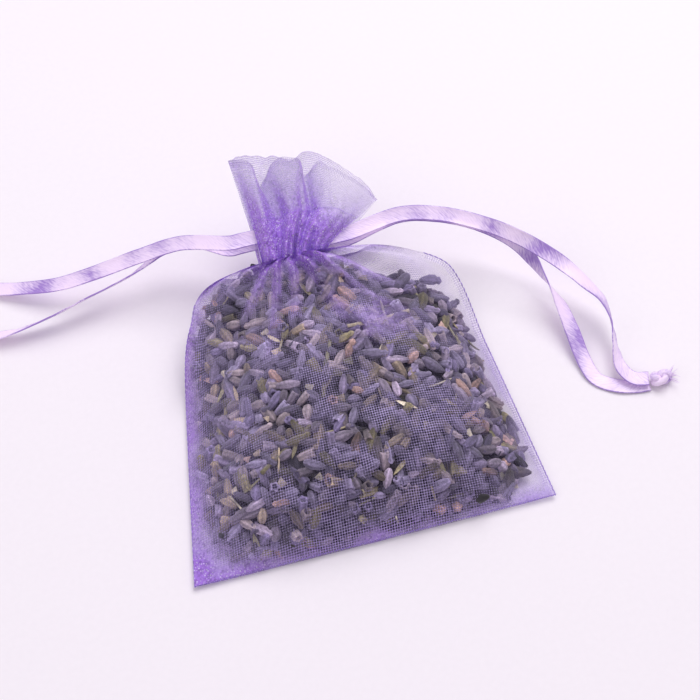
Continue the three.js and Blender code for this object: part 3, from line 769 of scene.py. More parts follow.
class BagForm:
    """Surface of the filled bag in millimetres, on the same rules as the solids."""

    def __init__(self, bag):
        self.width = bag.width / MM
        self.body = bag.body / MM
        self.belly = bag.belly / MM
        self.neck = bag.neck / MM
        self.flare = bag.flare / MM
        self.shoulder = bag.shoulder / MM
        self.left = -1 + 2 * LEFT_MARGIN / self.width
        self.right = 1 - 2 * RIGHT_MARGIN / self.width
        self.bottom = -self.body / 2

    def station(self, s):
        """Cross-sections of the body at places along it."""
        gather = smooth(s, SHOULDER_SHARE * self.body, self.body)
        narrowing = np.sqrt(np.maximum(0, 1 - (s / self.body) ** SHOULDER_POWER))
        return {
            "s": s,
            "gather": gather,
            "opening": smooth(s, self.body - SIDE_OPENING, self.body),
            "y": self.bottom + s,
            "z": mix(SEAM_HEIGHT, NECK_HEIGHT, smooth(s, LIFT_SHARE * self.body, self.body)),
            "tilt": NECK_TILT * gather,
            "shift": mix(BODY_LEAN * s / self.body, NECK_OFFSET, smooth(s, self.body - NECK_PULL, self.body)),
            "half": mix(self.neck, mix(self.width, self.shoulder, s / self.body), narrowing) / 2,
        }

    def casing_station(self, along):
        """Cross-sections of the casing at places along it."""
        along = np.asarray(along, float)
        opening = np.clip(along / CASING_LENGTH, 0, 1) ** FLARE_POWER
        return {
            "y": self.bottom + self.body + along * math.cos(NECK_TILT),
            "z": NECK_HEIGHT + along * math.sin(NECK_TILT),
            "tilt": np.full_like(along, NECK_TILT),
            "shift": NECK_OFFSET + FLARE_SHIFT * opening,
            "half": mix(self.neck, self.flare, opening) / 2,
        }

    def point(self, station, u, height):
        """Points of cross-sections: across from -1 to 1 and out of the middle plane."""
        x = station["shift"] + u * station["half"]
        y = station["y"] - height * np.sin(station["tilt"])
        z = station["z"] + height * np.cos(station["tilt"])
        return np.stack(np.broadcast_arrays(x, y, z), -1)

    def casing_point(self, x, along, height):
        """Point of the casing: across, along from its middle, and out of the middle plane."""
        station = self.casing_station(CASING_LENGTH / 2 + np.asarray(along, float))
        station["half"] = np.ones_like(station["half"])
        station["shift"] = np.full_like(station["half"], NECK_OFFSET)
        return self.point(station, x, height)

    def broad(self, u):
        """Broad pleats of the shoulders, as in the solids, from 0 in a valley to 1 on a crest."""
        across = np.clip((u - self.left) / (self.right - self.left), 0, 1)
        gain = 1 - PLEAT_UNEVEN * (1 - np.cos(math.pi * (PLEAT_COUNT - 1) * across)) / 2
        return gain * (1 - np.cos(2 * math.pi * PLEAT_COUNT * across)) / 2

    def pleats(self, u, phase):
        """Uneven gathers across the neck, from 0 in a valley to 1 on a crest."""
        turn = math.pi * (u + 1) * 4 + 0.9 * np.sin(3.1 * u + phase) + 0.5 * np.sin(7.3 * u + 2 * phase)
        size = 0.78 + 0.22 * np.sin(5.2 * u + 1.7 * phase)
        return size * (0.5 - 0.5 * np.cos(2 * turn)) ** 0.85

    def puffs(self, u):
        """Broad puffs of the casing, from 0 between two of them to 1 on a crest."""
        ends = np.array(PUFFS)
        k = np.clip(np.searchsorted(ends, u, side="right") - 1, 0, len(ends) - 2)
        return np.sin(math.pi * (u - ends[k]) / (ends[k + 1] - ends[k])) ** 2

    def front_height(self, st, u):
        """Height of the front cloth over the middle plane of the body, without folds."""
        climb = np.clip((st["s"] - BOTTOM_MARGIN) / RISE_LENGTH, 0, 1)
        across = 2 * np.clip((u - self.left) / (self.right - self.left), 0, 1) - 1
        across = np.clip(across / (1 - CORNER_ROUND * (1 - climb) ** 2), -1, 1)
        power = mix(CROWN_POWER, NECK_CROWN_POWER, st["gather"])
        crown = np.maximum(0, 1 - np.abs(across) ** power) ** CROWN_ROOT
        rise = np.sqrt(1 - (1 - climb) ** 2)
        middle = mix(self.belly - CLOTH - st["z"], NECK_INNER, st["gather"])
        swell = (middle - EDGE_LIFT) * rise * mix(crown, 1, st["opening"])
        return EDGE_LIFT + swell

    def rear_height(self, st, u):
        """Depth of the rear cloth under the middle plane of the body, without folds."""
        middle = mix(st["z"] - CLOTH, NECK_INNER, st["gather"])
        spread = mix(1 - np.abs(u) ** UNDERSIDE_POWER, 1, st["opening"])
        return EDGE_LIFT + (middle + CLOTH - TABLE_GAP - EDGE_LIFT) * spread


def spline(points, count):
    """Evenly spaced points on a smooth curve through control points, the control index of each, and the
    curve's length."""
    steps = 41
    points = np.asarray(points, float)
    ends = np.vstack([2 * points[0] - points[1], points, 2 * points[-1] - points[-2]])
    fine, place = [], []
    for i in range(len(points) - 1):
        p0, p1, p2, p3 = ends[i : i + 4]
        gaps = [max(np.linalg.norm(b - a), 1e-6) ** 0.5 for a, b in ((p0, p1), (p1, p2), (p2, p3))]
        t1 = ((p1 - p0) / gaps[0] - (p2 - p0) / (gaps[0] + gaps[1]) + (p2 - p1) / gaps[1]) * gaps[1]
        t2 = ((p2 - p1) / gaps[1] - (p3 - p1) / (gaps[1] + gaps[2]) + (p3 - p2) / gaps[2]) * gaps[1]
        t = np.linspace(0, 1, steps)[:, None]
        part = (
            (2 * t**3 - 3 * t**2 + 1) * p1
            + (t**3 - 2 * t**2 + t) * t1
            + (3 * t**2 - 2 * t**3) * p2
            + (t**3 - t**2) * t2
        )
        fine.append(part[:-1])
        place.append(i + t[:-1, 0])
    fine = np.vstack([*fine, points[-1:]])
    place = np.append(np.concatenate(place), len(points) - 1)
    run = run_along(fine)
    even = np.linspace(0, run[-1], count)
    curve = np.stack([np.interp(even, run, fine[:, k]) for k in range(3)], -1)
    return curve, np.interp(even, run, place), run[-1]


class SACHET_OT_stage(bpy.types.Operator):
    """Add the floor, the soft studio light and the camera"""

    bl_idname = "sachet.stage"
    bl_label = "Stage"

    # Middle of the view and size of the floor in millimetres; the lights are placed in metres.
    target = (5.35, 9.6, 5.0)
    sensor_width = 36
    focal_length = 92.06
    floor_half = 1500.0
    floor_level = -0.05
    key_place = (0.24, 0.30, 0.60)
    key_width = 0.5
    fill_place = (-0.45, -0.15, 0.55)
    fill_width = 0.7
    fill_share = 0.35
    sky_strength = 0.5
    clear_layers = 40

    def execute(self, context):
        scene = context.scene
        stage = scene.sachet.stage
        target = Vector(self.target) * MM
        flat = math.cos(stage.elevation)
        back = Vector((
            math.sin(stage.azimuth) * flat,
            -math.cos(stage.azimuth) * flat,
            math.sin(stage.elevation),
        ))
        lens = bpy.data.cameras.new("Camera")
        lens.sensor_width = self.sensor_width
        lens.lens = self.focal_length
        lens.clip_start = 0.01
        camera = bpy.data.objects.new("Camera", lens)
        scene.collection.objects.link(camera)
        camera.location = target + back * stage.distance
        camera.rotation_euler = back.to_track_quat("Z", "Y").to_euler()
        scene.camera = camera
        size = self.floor_half
        level = self.floor_level
        corners = [(-size, -size, level), (size, -size, level), (size, size, level), (-size, size, level)]
        add_mesh("floor", corners, [(0, 1, 2, 3)], finish("floor"))
        lights = {
            "key_light": (self.key_place, self.key_width, stage.key),
            "fill_light": (self.fill_place, self.fill_width, stage.key * self.fill_share),
        }
        for name, (place, width, power) in lights.items():
            lamp = bpy.data.lights.new(name, "AREA")
            lamp.size = width
            lamp.energy = power
            obj = bpy.data.objects.new(name, lamp)
            obj.location = place
            obj.rotation_euler = (Vector(place) - target).to_track_quat("Z", "Y").to_euler()
            scene.collection.objects.link(obj)
        world = bpy.data.worlds.new("Soft studio")
        world.use_nodes = True
        sky = world.node_tree.nodes["Background"]
        sky.inputs["Color"].default_value = (*linear("#f4f0fa"), 1)
        sky.inputs["Strength"].default_value = self.sky_strength
        scene.world = world
        scene.view_settings.view_transform = "Standard"
        # A look through the gathers meets many layers of clear cloth.
        scene.cycles.transparent_max_bounces = self.clear_layers
        return {"FINISHED"}


def ribbon_mesh(name, middle, wide, thick, ribbon):
    """Ribbon along a line of points, with its width and thickness directions: slightly cupped, with rippling
    edges and a bead along both."""
    cup = 0.12
    ripple_height = 0.16
    half = ribbon.width / MM / 2
    deep = ribbon.thickness / MM / 2
    shares = np.array([-1, -0.96, -0.86, -0.7, -0.45, -0.2, 0, 0.2, 0.45, 0.7, 0.86, 0.96, 1])
    run = run_along(middle)
    bead = 1 + 0.5 * bell(np.abs(shares) - 0.9, 0.06)
    bead[[0, -1]] = 0.5
    left, right = (waver(run, 0.45, sign * 3.7, 1.3)[:, None] for sign in (-1, 1))
    ripple = np.where(shares[None, :] < 0, left, right) * ripple_height * np.abs(shares[None, :]) ** 3
    lift = cup * (shares[None, :] ** 2 - 0.4) + ripple
    across = wide[:, None] * (shares * half)[None, :, None]
    faces = []
    for face in (1, -1):
        out = lift + face * deep * bead[None, :]
        faces.append(middle[:, None] + across + thick[:, None] * out[:, :, None])
    grid = np.concatenate([faces[0], faces[1][:, ::-1]], axis=1)
    cloth = cloth_places(np.concatenate([shares, shares[::-1]]) * half, run, 1.0)
    return add_mesh(name, grid, tube_faces(*grid.shape[:2], flipped=True), finish("satin"), {"cloth": cloth})


def turned(vectors, axes, angles):
    """Vectors turned about their axes."""
    cos, sin = np.cos(angles)[:, None], np.sin(angles)[:, None]
    along = np.sum(vectors * axes, axis=1, keepdims=True)
    return vectors * cos + np.cross(axes, vectors) * sin + axes * along * (1 - cos)


class SACHET_OT_drawstrings(bpy.types.Operator):
    """Add the two satin drawstrings: four free strands, the turns inside the casing and the two knots"""

    bl_idname = "sachet.drawstrings"
    bl_label = "Drawstrings"

    strand_points = 220
    leg_points = 20
    turn_points = 25
    # Radius of a knot as a share of the ribbon's width, its length, width and height as shares of that, the
    # half width and half thickness in millimetres of the ribbon in it, and the creases of that.
    knot_share = 0.35
    knot_form = (1.25, 0.72, 0.62)
    knot_ply = (0.66, 0.46)
    knot_crease = 0.10
    knot_seeds = {"left": 11, "right": 5}
    hair_count = 26
    hair_radius = 0.075

    def execute(self, context):
        settings = context.scene.sachet
        form = BagForm(settings.bag)
        origin = form.casing_point(0, 0, 0)
        stops = [MOUTH - TAIL_LENGTH, MOUTH, MOUTH + STRAIGHT_LENGTH / 2, MOUTH + STRAIGHT_LENGTH]
        for side, sign in SIDES.items():
            body = f"{side}_drawstring"
            wrap = self.wrap(form, settings.ribbon, side, sign)
            settle(wrap, "bag", "satin_ribbon", f"{side}_drawstring_wrap")
            knot = settle(self.knot(side, origin, settings.ribbon), body, "satin_ribbon", f"{side}_knot")
            for face, lift in (("front", TUNNEL_LIFT), ("rear", -TUNNEL_LIFT)):
                name = f"{side}_{face}_strand"
                straight = [form.casing_point(sign * x, -sign * LANE_OFFSET, lift) for x in stops]
                route = [(origin[0] + x, origin[1] + y, z) for x, y, z, _ in ROUTES[name]]
                rolls = [sign * NECK_TILT] * len(stops) + [math.radians(r[3]) for r in ROUTES[name]]
                middle, place, run = spline([*straight, *route], self.strand_points)
                ahead = unit(np.gradient(middle, axis=0))
                level = unit(np.cross((0, 0, 1), ahead))
                wide = turned(level, ahead, np.interp(place, range(len(rolls)), rolls))
                strand = ribbon_mesh(f"{name}_ribbon", middle, wide, np.cross(ahead, wide), settings.ribbon)
                settle(strand, body, "satin_ribbon", name)
        return {"FINISHED"}

    def wrap(self, form, ribbon, side, sign):
        """Ribbon inside the casing: through both tunnels and round the far side of the neck."""
        turn = np.linspace(0, math.pi, self.turn_points)
        leg = np.linspace(WRAP_START, -WRAP_TURN, self.leg_points)[:-1]
        back = np.linspace(-WRAP_TURN, WRAP_START, self.leg_points)[1:]
        x = np.concatenate([leg, -WRAP_TURN - WRAP_REACH * np.sin(turn), back])
        height = TUNNEL_LIFT * np.concatenate([np.ones(len(leg)), np.cos(turn), -np.ones(len(back))])
        middle = np.array([form.casing_point(sign * a, -sign * LANE_OFFSET, h) for a, h in zip(x, height)])
        ahead = unit(np.gradient(middle, axis=0))
        along = form.casing_point(0, 1, 0) - form.casing_point(0, 0, 0)
        wide = np.tile(unit(along) * sign, (len(middle), 1))
        return ribbon_mesh(f"{side}_casing_ribbon", middle, wide, np.cross(ahead, wide), ribbon)

    def knot(self, side, origin, ribbon):
        """Overhand knot of both ribbon ends, pulled tight, with a frayed end."""
        x, y, z = KNOTS[side]
        centre = np.array([origin[0] + x, origin[1] + y, z])
        radius = ribbon.width / MM * self.knot_share
        # Its path is a trefoil: three lobes in two turns.
        lobes, turns = 3, 2
        long, broad, high = self.knot_form
        u = np.linspace(0, 2 * turns * math.pi, 121)[:-1]
        lobe = lobes / turns * u
        reach = radius * (2 + np.cos(lobe)) * 0.5
        path = np.stack([
            long * reach * np.cos(u),
            broad * reach * np.sin(u),
            radius * np.sin(lobe) * high,
        ], -1)
        ahead = unit(np.roll(path, -1, axis=0) - np.roll(path, 1, axis=0))
        wide = unit(np.cross(ahead, path + (0, 0, 2.0)))
        turn = np.linspace(0, 2 * math.pi, 15)[:-1]
        crease = 1 + self.knot_crease * np.sin(5 * turn)[None, :] * np.sin(7 * u)[:, None]
        half, deep = self.knot_ply
        rings = tube(path, wide, np.cross(ahead, wide), turn, half * crease, deep * crease)
        rows, columns = rings.shape[:2]
        points = [(rings + centre).reshape(-1, 3)]
        faces = [grid_faces(rows + 1, columns, closed=True) % (rows * columns)]
        cloth = [cloth_places(np.cos(turn) * 1.2, np.linspace(0, 40, rows), 1.0).reshape(-1, 3)]
        rng = np.random.default_rng(self.knot_seeds[side])
        for k in range(self.hair_count):
            hair = self.hair(rng, centre, SIDES[side])
            faces.append(grid_faces(*hair.shape[:2], closed=True) + sum(len(p) for p in points))
            points.append(hair.reshape(-1, 3))
            cloth.append(np.tile((0.0, 0.3 * k, 1.0), (len(points[-1]), 1)))
        places = {"cloth": np.vstack(cloth)}
        return add_mesh(f"{side}_ribbon_knot", np.vstack(points), np.vstack(faces), finish("satin"), places)

    def hair(self, rng, centre, sign):
        """One filament of the frayed end, as rings of points."""
        root = centre + (sign * 1.5, rng.uniform(-0.8, 0.8), rng.uniform(-0.7, 0.5))
        spread = rng.uniform(-0.9, 0.9)
        lift = rng.uniform(-0.15, 0.45)
        size = rng.uniform(1.2, 2.6)
        bend = rng.uniform(-0.5, 0.5)
        t = np.linspace(0, 1, 6)[:, None]
        line = root + t * size * np.array([sign * 0.8, spread, lift]) + t**2 * np.array([0, bend, -0.4])
        line[:, 2] = np.maximum(line[:, 2], LOWEST)
        forward = unit(np.gradient(line, axis=0))
        level = unit(np.cross(forward, (0.1, 0.2, 1)))
        spin = np.linspace(0, 2 * math.pi, 6)[:-1]
        thin = self.hair_radius * (1 - 0.5 * t)
        return tube(line, level, np.cross(forward, level), spin, thin, thin)


def lathe(outline, sides, rib, bend=0.0):
    """Turned shape along X from pairs of place and radius, with ribs and a slight bend; and its faces."""
    turn = np.linspace(0, 2 * math.pi, sides + 1)[:-1]
    points = []
    for place, radius in outline:
        r = radius * (1 + rib * np.cos(turn * sides / 2))
        rise = r * np.sin(turn) + bend * (place * place)
        points.append(np.stack([np.full(sides, place), r * np.cos(turn), rise], -1))
    return np.vstack(points), tube_faces(len(outline), sides, flipped=True)


def plain_shape(points, faces, place, straw, rib):
    """Shape whose points share one place from foot to mouth, one straw share and one rib."""
    count = len(points)
    return points, faces, np.full(count, place), np.full(count, straw), np.full(count, rib)


def bud_shapes(lavender):
    """Shapes of the dried lavender: closed calyxes, open ones with a round mouth, a bud with its petals, a
    short bud, straw, a leaf and a petal. Each has points, faces, and for each point its place from foot to
    mouth, whether it is straw, and its rib."""
    half = lavender.bud_length / MM / 2
    radius = lavender.bud_width / MM / 2
    sides = 10
    closed = [(-1, 0.22), (-0.8, 0.5), (-0.35, 0.86), (0.2, 1.0), (0.65, 0.84), (0.92, 0.5), (1, 0.2)]
    opened = [
        (-1, 0.22), (-0.7, 0.56), (-0.2, 0.86), (0.45, 0.92),
        (0.86, 0.95), (1, 0.86), (0.94, 0.6), (0.5, 0.5),
    ]
    petals = [(-1, 0.22), (-0.75, 0.55), (-0.2, 0.92), (0.35, 0.9), (0.6, 0.6), (0.86, 0.72), (1.12, 0.2)]
    short = [(-0.66, 0.3), (-0.45, 0.78), (0.0, 1.04), (0.4, 0.86), (0.66, 0.35)]
    # Outline, ribs, bend, and how far the mouth looks up out of the heap, in radians.
    calyxes = (
        (closed, 0.13, 0.03, 0),
        (opened, 0.12, -0.02, 0.5),
        (petals, 0.14, 0.04, 0),
        (short, 0.1, 0, 0.2),
    )
    shapes = []
    for outline, rib, bend, lean in calyxes:
        points, faces = lathe([(p * half, r * radius) for p, r in outline], sides, rib, bend)
        along = points[:, 0] / (2 * half) + 0.5
        # The inside of an open mouth takes the foot's place, so it is painted as dark as the foot: painted
        # shade in the hollow.
        if outline is opened:
            along[-sides:] = 0.0
        crest = np.tile([1.0, 0.0], len(points) // 2)
        x = points[:, 0] * math.cos(lean) - points[:, 2] * math.sin(lean)
        z = points[:, 0] * math.sin(lean) + points[:, 2] * math.cos(lean) - 1.4 * math.sin(lean)
        shapes.append((np.stack([x, points[:, 1], z], -1), faces, along, np.zeros(len(points)), crest))
    straw = lathe([(-3.2, 0.2), (-1.5, 0.26), (0.2, 0.22), (1.8, 0.27), (3.3, 0.18)], 5, 0.0, 0.03)
    shapes.append(plain_shape(*straw, 0.8, 1.0, 0.8))
    leaf = [
        (r * 2.6, side * 0.5 * (1 - r * r) + 0.02 * side, 0.3 * abs(side) + 0.2 * r * r)
        for r in np.linspace(-1, 1, 6)
        for side in (-1, 0, 1)
    ]
    shapes.append(plain_shape(np.array(leaf), grid_faces(6, 3).tolist(), 0.85, 1.0, 1.0))
    petal = [
        (r * 0.9, math.sin(a) * (0.75 - 0.3 * r), math.cos(a) * 0.5)
        for r in np.linspace(-1, 1, 4)
        for a in np.linspace(-1.2, 1.2, 4)
    ]
    shapes.append(plain_shape(np.array(petal), grid_faces(4, 4).tolist(), 0.85, 0.8, 1.0))
    return shapes


def add_floats(obj, name, values):
    """Add a number for each point of a mesh."""
    layer = obj.data.attributes.new(name, "FLOAT", "POINT")
    layer.data.foreach_set("value", np.asarray(values, np.float32))


def bud_collection(lavender, material):
    """Collection of the bud shapes, one object each, outside the scene."""
    group = bpy.data.collections.new("bud_shapes")
    for k, (points, faces, along, straw, crest) in enumerate(bud_shapes(lavender)):
        form = np.stack([along, straw, np.ones_like(along)], -1)
        obj = add_mesh(f"bud_shape_{k}", points, faces, material, {"form": form})
        add_floats(obj, "rib", crest)
        bpy.context.scene.collection.objects.unlink(obj)
        group.objects.link(obj)
    return group


def drop_collection(group):
    """Remove the bud shapes once their scatter is real."""
    for obj in list(group.objects):
        mesh = obj.data
        bpy.data.objects.remove(obj)
        bpy.data.meshes.remove(mesh)
    bpy.data.collections.remove(group)


def scatter_tree(group, material):
    """Buds scattered over the heap: laid along it, spun at random, some standing on end."""
    bit_share = 0.10
    most_sites = 600000.0
    tree, start = tree_with(
        "Lavender scatter",
        {
            "Spacing": "NodeSocketFloat",
            "Seed": "NodeSocketInt",
            "Stand": "NodeSocketFloat",
            "Size": "NodeSocketFloat",
        },
    )
    seed = start.outputs["Seed"]
    sites = add_node(
        tree,
        "GeometryNodeDistributePointsOnFaces",
        {"distribute_method": "POISSON", "Density Max": most_sites},
        {"Mesh": start.outputs["Geometry"], "Distance Min": start.outputs["Spacing"], "Seed": seed},
    )
    # Random numbers of a bud, lowest and highest. Calyxes are shapes 0 to 3, and bits of straw, leaf and
    # petal are shapes 4 to 6.
    ranges = {
        "spin": (0.0, 2 * math.pi),
        "lean": (-1.0, 1.0),
        "kind": (0.0, 1.0),
        "size": (0.82, 1.12),
        "tint": (0.0, 1.0),
        "calyx": (0.0, 3.999),
        "bit": (4.0, 6.999),
    }
    draws = {}
    for offset, (key, (low, high)) in enumerate(ranges.items(), 1):
        shifted = add_node(tree, "FunctionNodeIntegerMath", {"operation": "ADD", 1: offset}, {0: seed})
        drawn = add_node(
            tree, "FunctionNodeRandomValue", {"data_type": "FLOAT", 2: low, 3: high}, {8: shifted.outputs[0]}
        )
        draws[key] = drawn.outputs[1]
    # Calyxes by far outnumber bits.
    bits = add_node(tree, MATH, {"operation": "LESS_THAN", 1: bit_share}, {0: draws["kind"]})
    calyx = add_node(tree, MATH, {"operation": "FLOOR"}, {0: draws["calyx"]})
    bit = add_node(tree, MATH, {"operation": "FLOOR"}, {0: draws["bit"]})
    index = add_node(
        tree,
        "ShaderNodeMix",
        {"data_type": "FLOAT"},
        {0: bits.outputs[0], 2: calyx.outputs[0], 3: bit.outputs[0]},
    )
    spin = add_node(tree, "ShaderNodeCombineXYZ", links={2: draws["spin"]})
    # Most calyxes lean little, and bits lie flat.
    lean = draws["lean"]
    square = add_node(tree, MATH, {"operation": "MULTIPLY"}, {0: lean, 1: lean})
    cube = add_node(tree, MATH, {"operation": "MULTIPLY"}, {0: square.outputs[0], 1: lean})
    flat = add_node(tree, MATH, {"operation": "SUBTRACT", 0: 1.0}, {1: bits.outputs[0]})
    leaning = add_node(tree, MATH, {"operation": "MULTIPLY"}, {0: cube.outputs[0], 1: flat.outputs[0]})
    angle = add_node(
        tree, MATH, {"operation": "MULTIPLY"}, {0: leaning.outputs[0], 1: start.outputs["Stand"]}
    )
    tilt = add_node(tree, "ShaderNodeCombineXYZ", links={1: angle.outputs[0]})
    laid = sites.outputs["Rotation"]
    for turn in (spin, tilt):
        laid = add_node(
            tree, "FunctionNodeRotateRotation", {"rotation_space": "LOCAL"}, {0: laid, 1: turn.outputs[0]}
        ).outputs[0]
    shapes = add_node(
        tree,
        "GeometryNodeCollectionInfo",
        {"Collection": group, "Separate Children": True, "Reset Children": True},
    )
    size = add_node(tree, MATH, {"operation": "MULTIPLY"}, {0: draws["size"], 1: start.outputs["Size"]})
    laid_out = add_node(
        tree,
        "GeometryNodeInstanceOnPoints",
        {"Pick Instance": True},
        {
            "Points": sites.outputs["Points"],
            "Instance": shapes.outputs[0],
            "Instance Index": index.outputs[0],
            "Rotation": laid,
            "Scale": size.outputs[0],
        },
    )
    tinted = add_node(
        tree,
        "GeometryNodeStoreNamedAttribute",
        {"data_type": "FLOAT", "domain": "INSTANCE", "Name": "tint"},
        {"Geometry": laid_out.outputs[0], "Value": draws["tint"]},
    )
    end_tree(tree, tinted.outputs[0], material)
    return tree


def heap_grid(form, sink):
    """Top and bottom of the heap of buds, sunk under the cloth, as two matching grids of points."""
    rows = 64
    columns = 72
    blur = 4
    under_front = 0.25
    over_rear = 0.15
    foot_round = 2.5
    neck_round = 5.0
    side_power = 6
    waist_share = 0.25
    outline = np.array(HEAP_OUTLINE, float)
    s = np.linspace(outline[0, 0], outline[-1, 0], rows)
    across = np.sin(np.linspace(-math.pi / 2, math.pi / 2, columns))
    left = np.interp(s, outline[:, 0], outline[:, 1])
    right = np.interp(s, outline[:, 0], outline[:, 2])
    keep = np.ones(2 * blur + 1) / (2 * blur + 1)
    for edge in (left, right):
        padded = np.pad(edge, blur, mode="edge")
        edge[:] = np.convolve(padded, keep, mode="valid")
    half = (right - left) / 2 - sink
    x = (left + right)[:, None] / 2 + half[:, None] * across[None, :]
    st = {key: value[:, None] for key, value in form.station(s).items()}
    u = np.clip((x - st["shift"]) / st["half"], -1, 1)
    top = form.front_height(st, u) - under_front
    low = -form.rear_height(st, u) + over_rear
    ends = np.clip(np.minimum((s - s[0]) / foot_round, (s[-1] - s) / neck_round), 0, 1)[:, None]
    bulge = np.sqrt(np.maximum(0, 1 - across[None, :] ** side_power)) * np.sqrt(1 - (1 - ends) ** 2)
    middle = mix(low, top, waist_share)
    upper = form.point(st, u, mix(middle, np.maximum(top - sink, middle), bulge))
    lower = form.point(st, u, mix(middle, np.minimum(low + sink, middle), bulge))
    return upper, lower


def joined(context, parts, name):
    """One object from several."""
    with context.temp_override(active_object=parts[0], selected_editable_objects=parts):
        bpy.ops.object.join()
    parts[0].name = name
    parts[0].data.name = name
    return parts[0]


class SACHET_OT_lavender(bpy.types.Operator):
    """Fill the bag with a heap of dried lavender buds in two layers over a core painted dark as shade"""

    bl_idname = "sachet.lavender"
    bl_label = "Lavender Bed"

    deep_shade = 0.14
    core_shade = 0.08

    def execute(self, context):
        settings = context.scene.sachet
        lavender = settings.lavender
        form = BagForm(settings.bag)
        material = finish("lavender")
        group = bud_collection(lavender, material)
        tree = scatter_tree(group, material)
        layers = []
        for k, (name, sink, size, stand) in enumerate(BUD_LAYERS):
            shell = self.shell(form, sink, material, f"heap_{k}")
            sizes = {
                "Spacing": lavender.spacing * size,
                "Seed": lavender.seed + SEED_STEP * k,
                "Stand": stand,
                "Size": size,
            }
            layers.append(baked_from_nodes(shell, tree, sizes, name))
            self.tuck(layers[k], form)
        # The deep layer and the core are painted dark, as painted shade deep in the heap.
        shaded_core = self.shell(form, CORE_SINK, material, "heap_core")
        self.shade(shaded_core, self.core_shade)
        self.shade(layers[1], self.deep_shade)
        deep = joined(context, [layers[1], shaded_core], "lavender_deep")
        drop_collection(group)
        settle(layers[0], "bag", "dried_buds", "bud_bed")
        settle(deep, "bag", "dried_buds")
        return {"FINISHED"}

    def shell(self, form, sink, material, name):
        """Closed shell of the heap."""
        upper, lower = heap_grid(form, sink)
        loop = np.concatenate([upper, lower[:, ::-1][:, 1:-1]], axis=1)
        rows, count = loop.shape[:2]
        tone = np.tile((0.5, 0.0, 1.0), (rows * count, 1))
        return add_mesh(name, loop, tube_faces(rows, count), material, {"form": tone})

    def tuck(self, obj, form):
        """Move each bud as a whole, so that it lies inside the seams and over the rear cloth."""
        mesh = obj.data
        points = np.zeros(len(mesh.vertices) * 3)
        mesh.vertices.foreach_get("co", points)
        points = points.reshape(-1, 3) / MM
        tint = np.zeros(len(points))
        mesh.attributes["tint"].data.foreach_get("value", tint)
        # A bud's points share its tint, which no other bud has.
        _, bud = np.unique(tint, return_inverse=True)
        count = bud.max() + 1
        low = np.full((count, 3), np.inf)
        high = np.full((count, 3), -np.inf)
        np.minimum.at(low, bud, points)
        np.maximum.at(high, bud, points)
        st = form.station(np.clip((low[:, 1] + high[:, 1]) / 2 - form.bottom, 0, form.body))
        left = st["shift"] - st["half"] + BUD_INSET
        right = st["shift"] + st["half"] - BUD_INSET
        # The rear cloth rises to the neck, so a bud lies over the higher of its two ends.
        under = form.station(np.clip(high[:, 1] - form.bottom, 0, form.body))
        u = np.clip(((low[:, 0] + high[:, 0]) / 2 - under["shift"]) / under["half"], -1, 1)
        floor = under["z"] - form.rear_height(under, u) * np.cos(under["tilt"]) + BUD_FLOOR
        move = np.stack([
            np.maximum(left - low[:, 0], 0) - np.maximum(high[:, 0] - right, 0),
            np.maximum(form.bottom + BUD_INSET - low[:, 1], 0),
            np.clip(np.maximum(floor, BUD_FLOOR) - low[:, 2], 0, BUD_RAISE),
        ], -1)
        mesh.vertices.foreach_set("co", ((points + move[bud]) * MM).ravel())
        mesh.update()

    def shade(self, obj, value):
        """Paint shade on buds that lie deep in the heap: darken their colour."""
        layer = obj.data.attributes["form"]
        values = np.zeros(len(layer.data) * 3, np.float32)
        layer.data.foreach_get("vector", values)
        values[2::3] *= value
        layer.data.foreach_set("vector", values)


def long_axis(node):
    """Middle and long direction of a CAD node, in millimetres."""
    points = np.array([v.co for v in frame["nodes"][node].data.vertices], float) / MM
    middle = (points.max(0) + points.min(0)) / 2
    _, _, axes = np.linalg.svd(points - points.mean(0), full_matrices=False)
    return middle, axes[0]


def placed(points, middle, axis, spin):
    """Points of a shape along X, laid on an axis."""
    level = unit(np.cross((0, 0, 1), axis))
    up = np.cross(axis, level)
    cos, sin = math.cos(spin), math.sin(spin)
    side = level * cos + up * sin
    rise = np.cross(axis, side)
    return middle + points[:, :1] * axis + points[:, 1:2] * side + points[:, 2:] * rise


def placed_set(name, nodes, shape_of, slot):
    """One piece made of a shape for each CAD node, at the node's place."""
    points, faces, forms, tints, ribs = [], [], [], [], []
    rng = np.random.default_rng(3)
    for k, node in enumerate(nodes):
        middle, axis = long_axis(node)
        shape, quads, along, straw, crest = shape_of(k)
        start = sum(len(p) for p in points)
        points.append(placed(shape, middle, axis, rng.uniform(0, 2 * math.pi)))
        faces += [[int(i) + start for i in f] for f in quads]
        forms.append(np.stack([along, straw, np.ones(len(shape))], -1))
        tints += [rng.uniform(0, 1)] * len(shape)
        ribs += list(crest)
    obj = add_mesh(name, np.vstack(points), faces, finish("lavender"), {"form": np.vstack(forms)})
    add_floats(obj, "tint", tints)
    add_floats(obj, "rib", ribs)
    return settle(obj, "bag", slot, *nodes)


class SACHET_OT_loose_buds(bpy.types.Operator):
    """Add the loose buds that lie on top of the heap"""

    bl_idname = "sachet.loose_buds"
    bl_label = "Loose Buds"

    def execute(self, context):
        shapes = bud_shapes(context.scene.sachet.lavender)
        nodes = sorted(n for n in frame["nodes"] if n.startswith("loose_bud"))
        placed_set("loose_buds", nodes, lambda k: shapes[(0, 2)[k % 2]], "dried_buds")
        return {"FINISHED"}


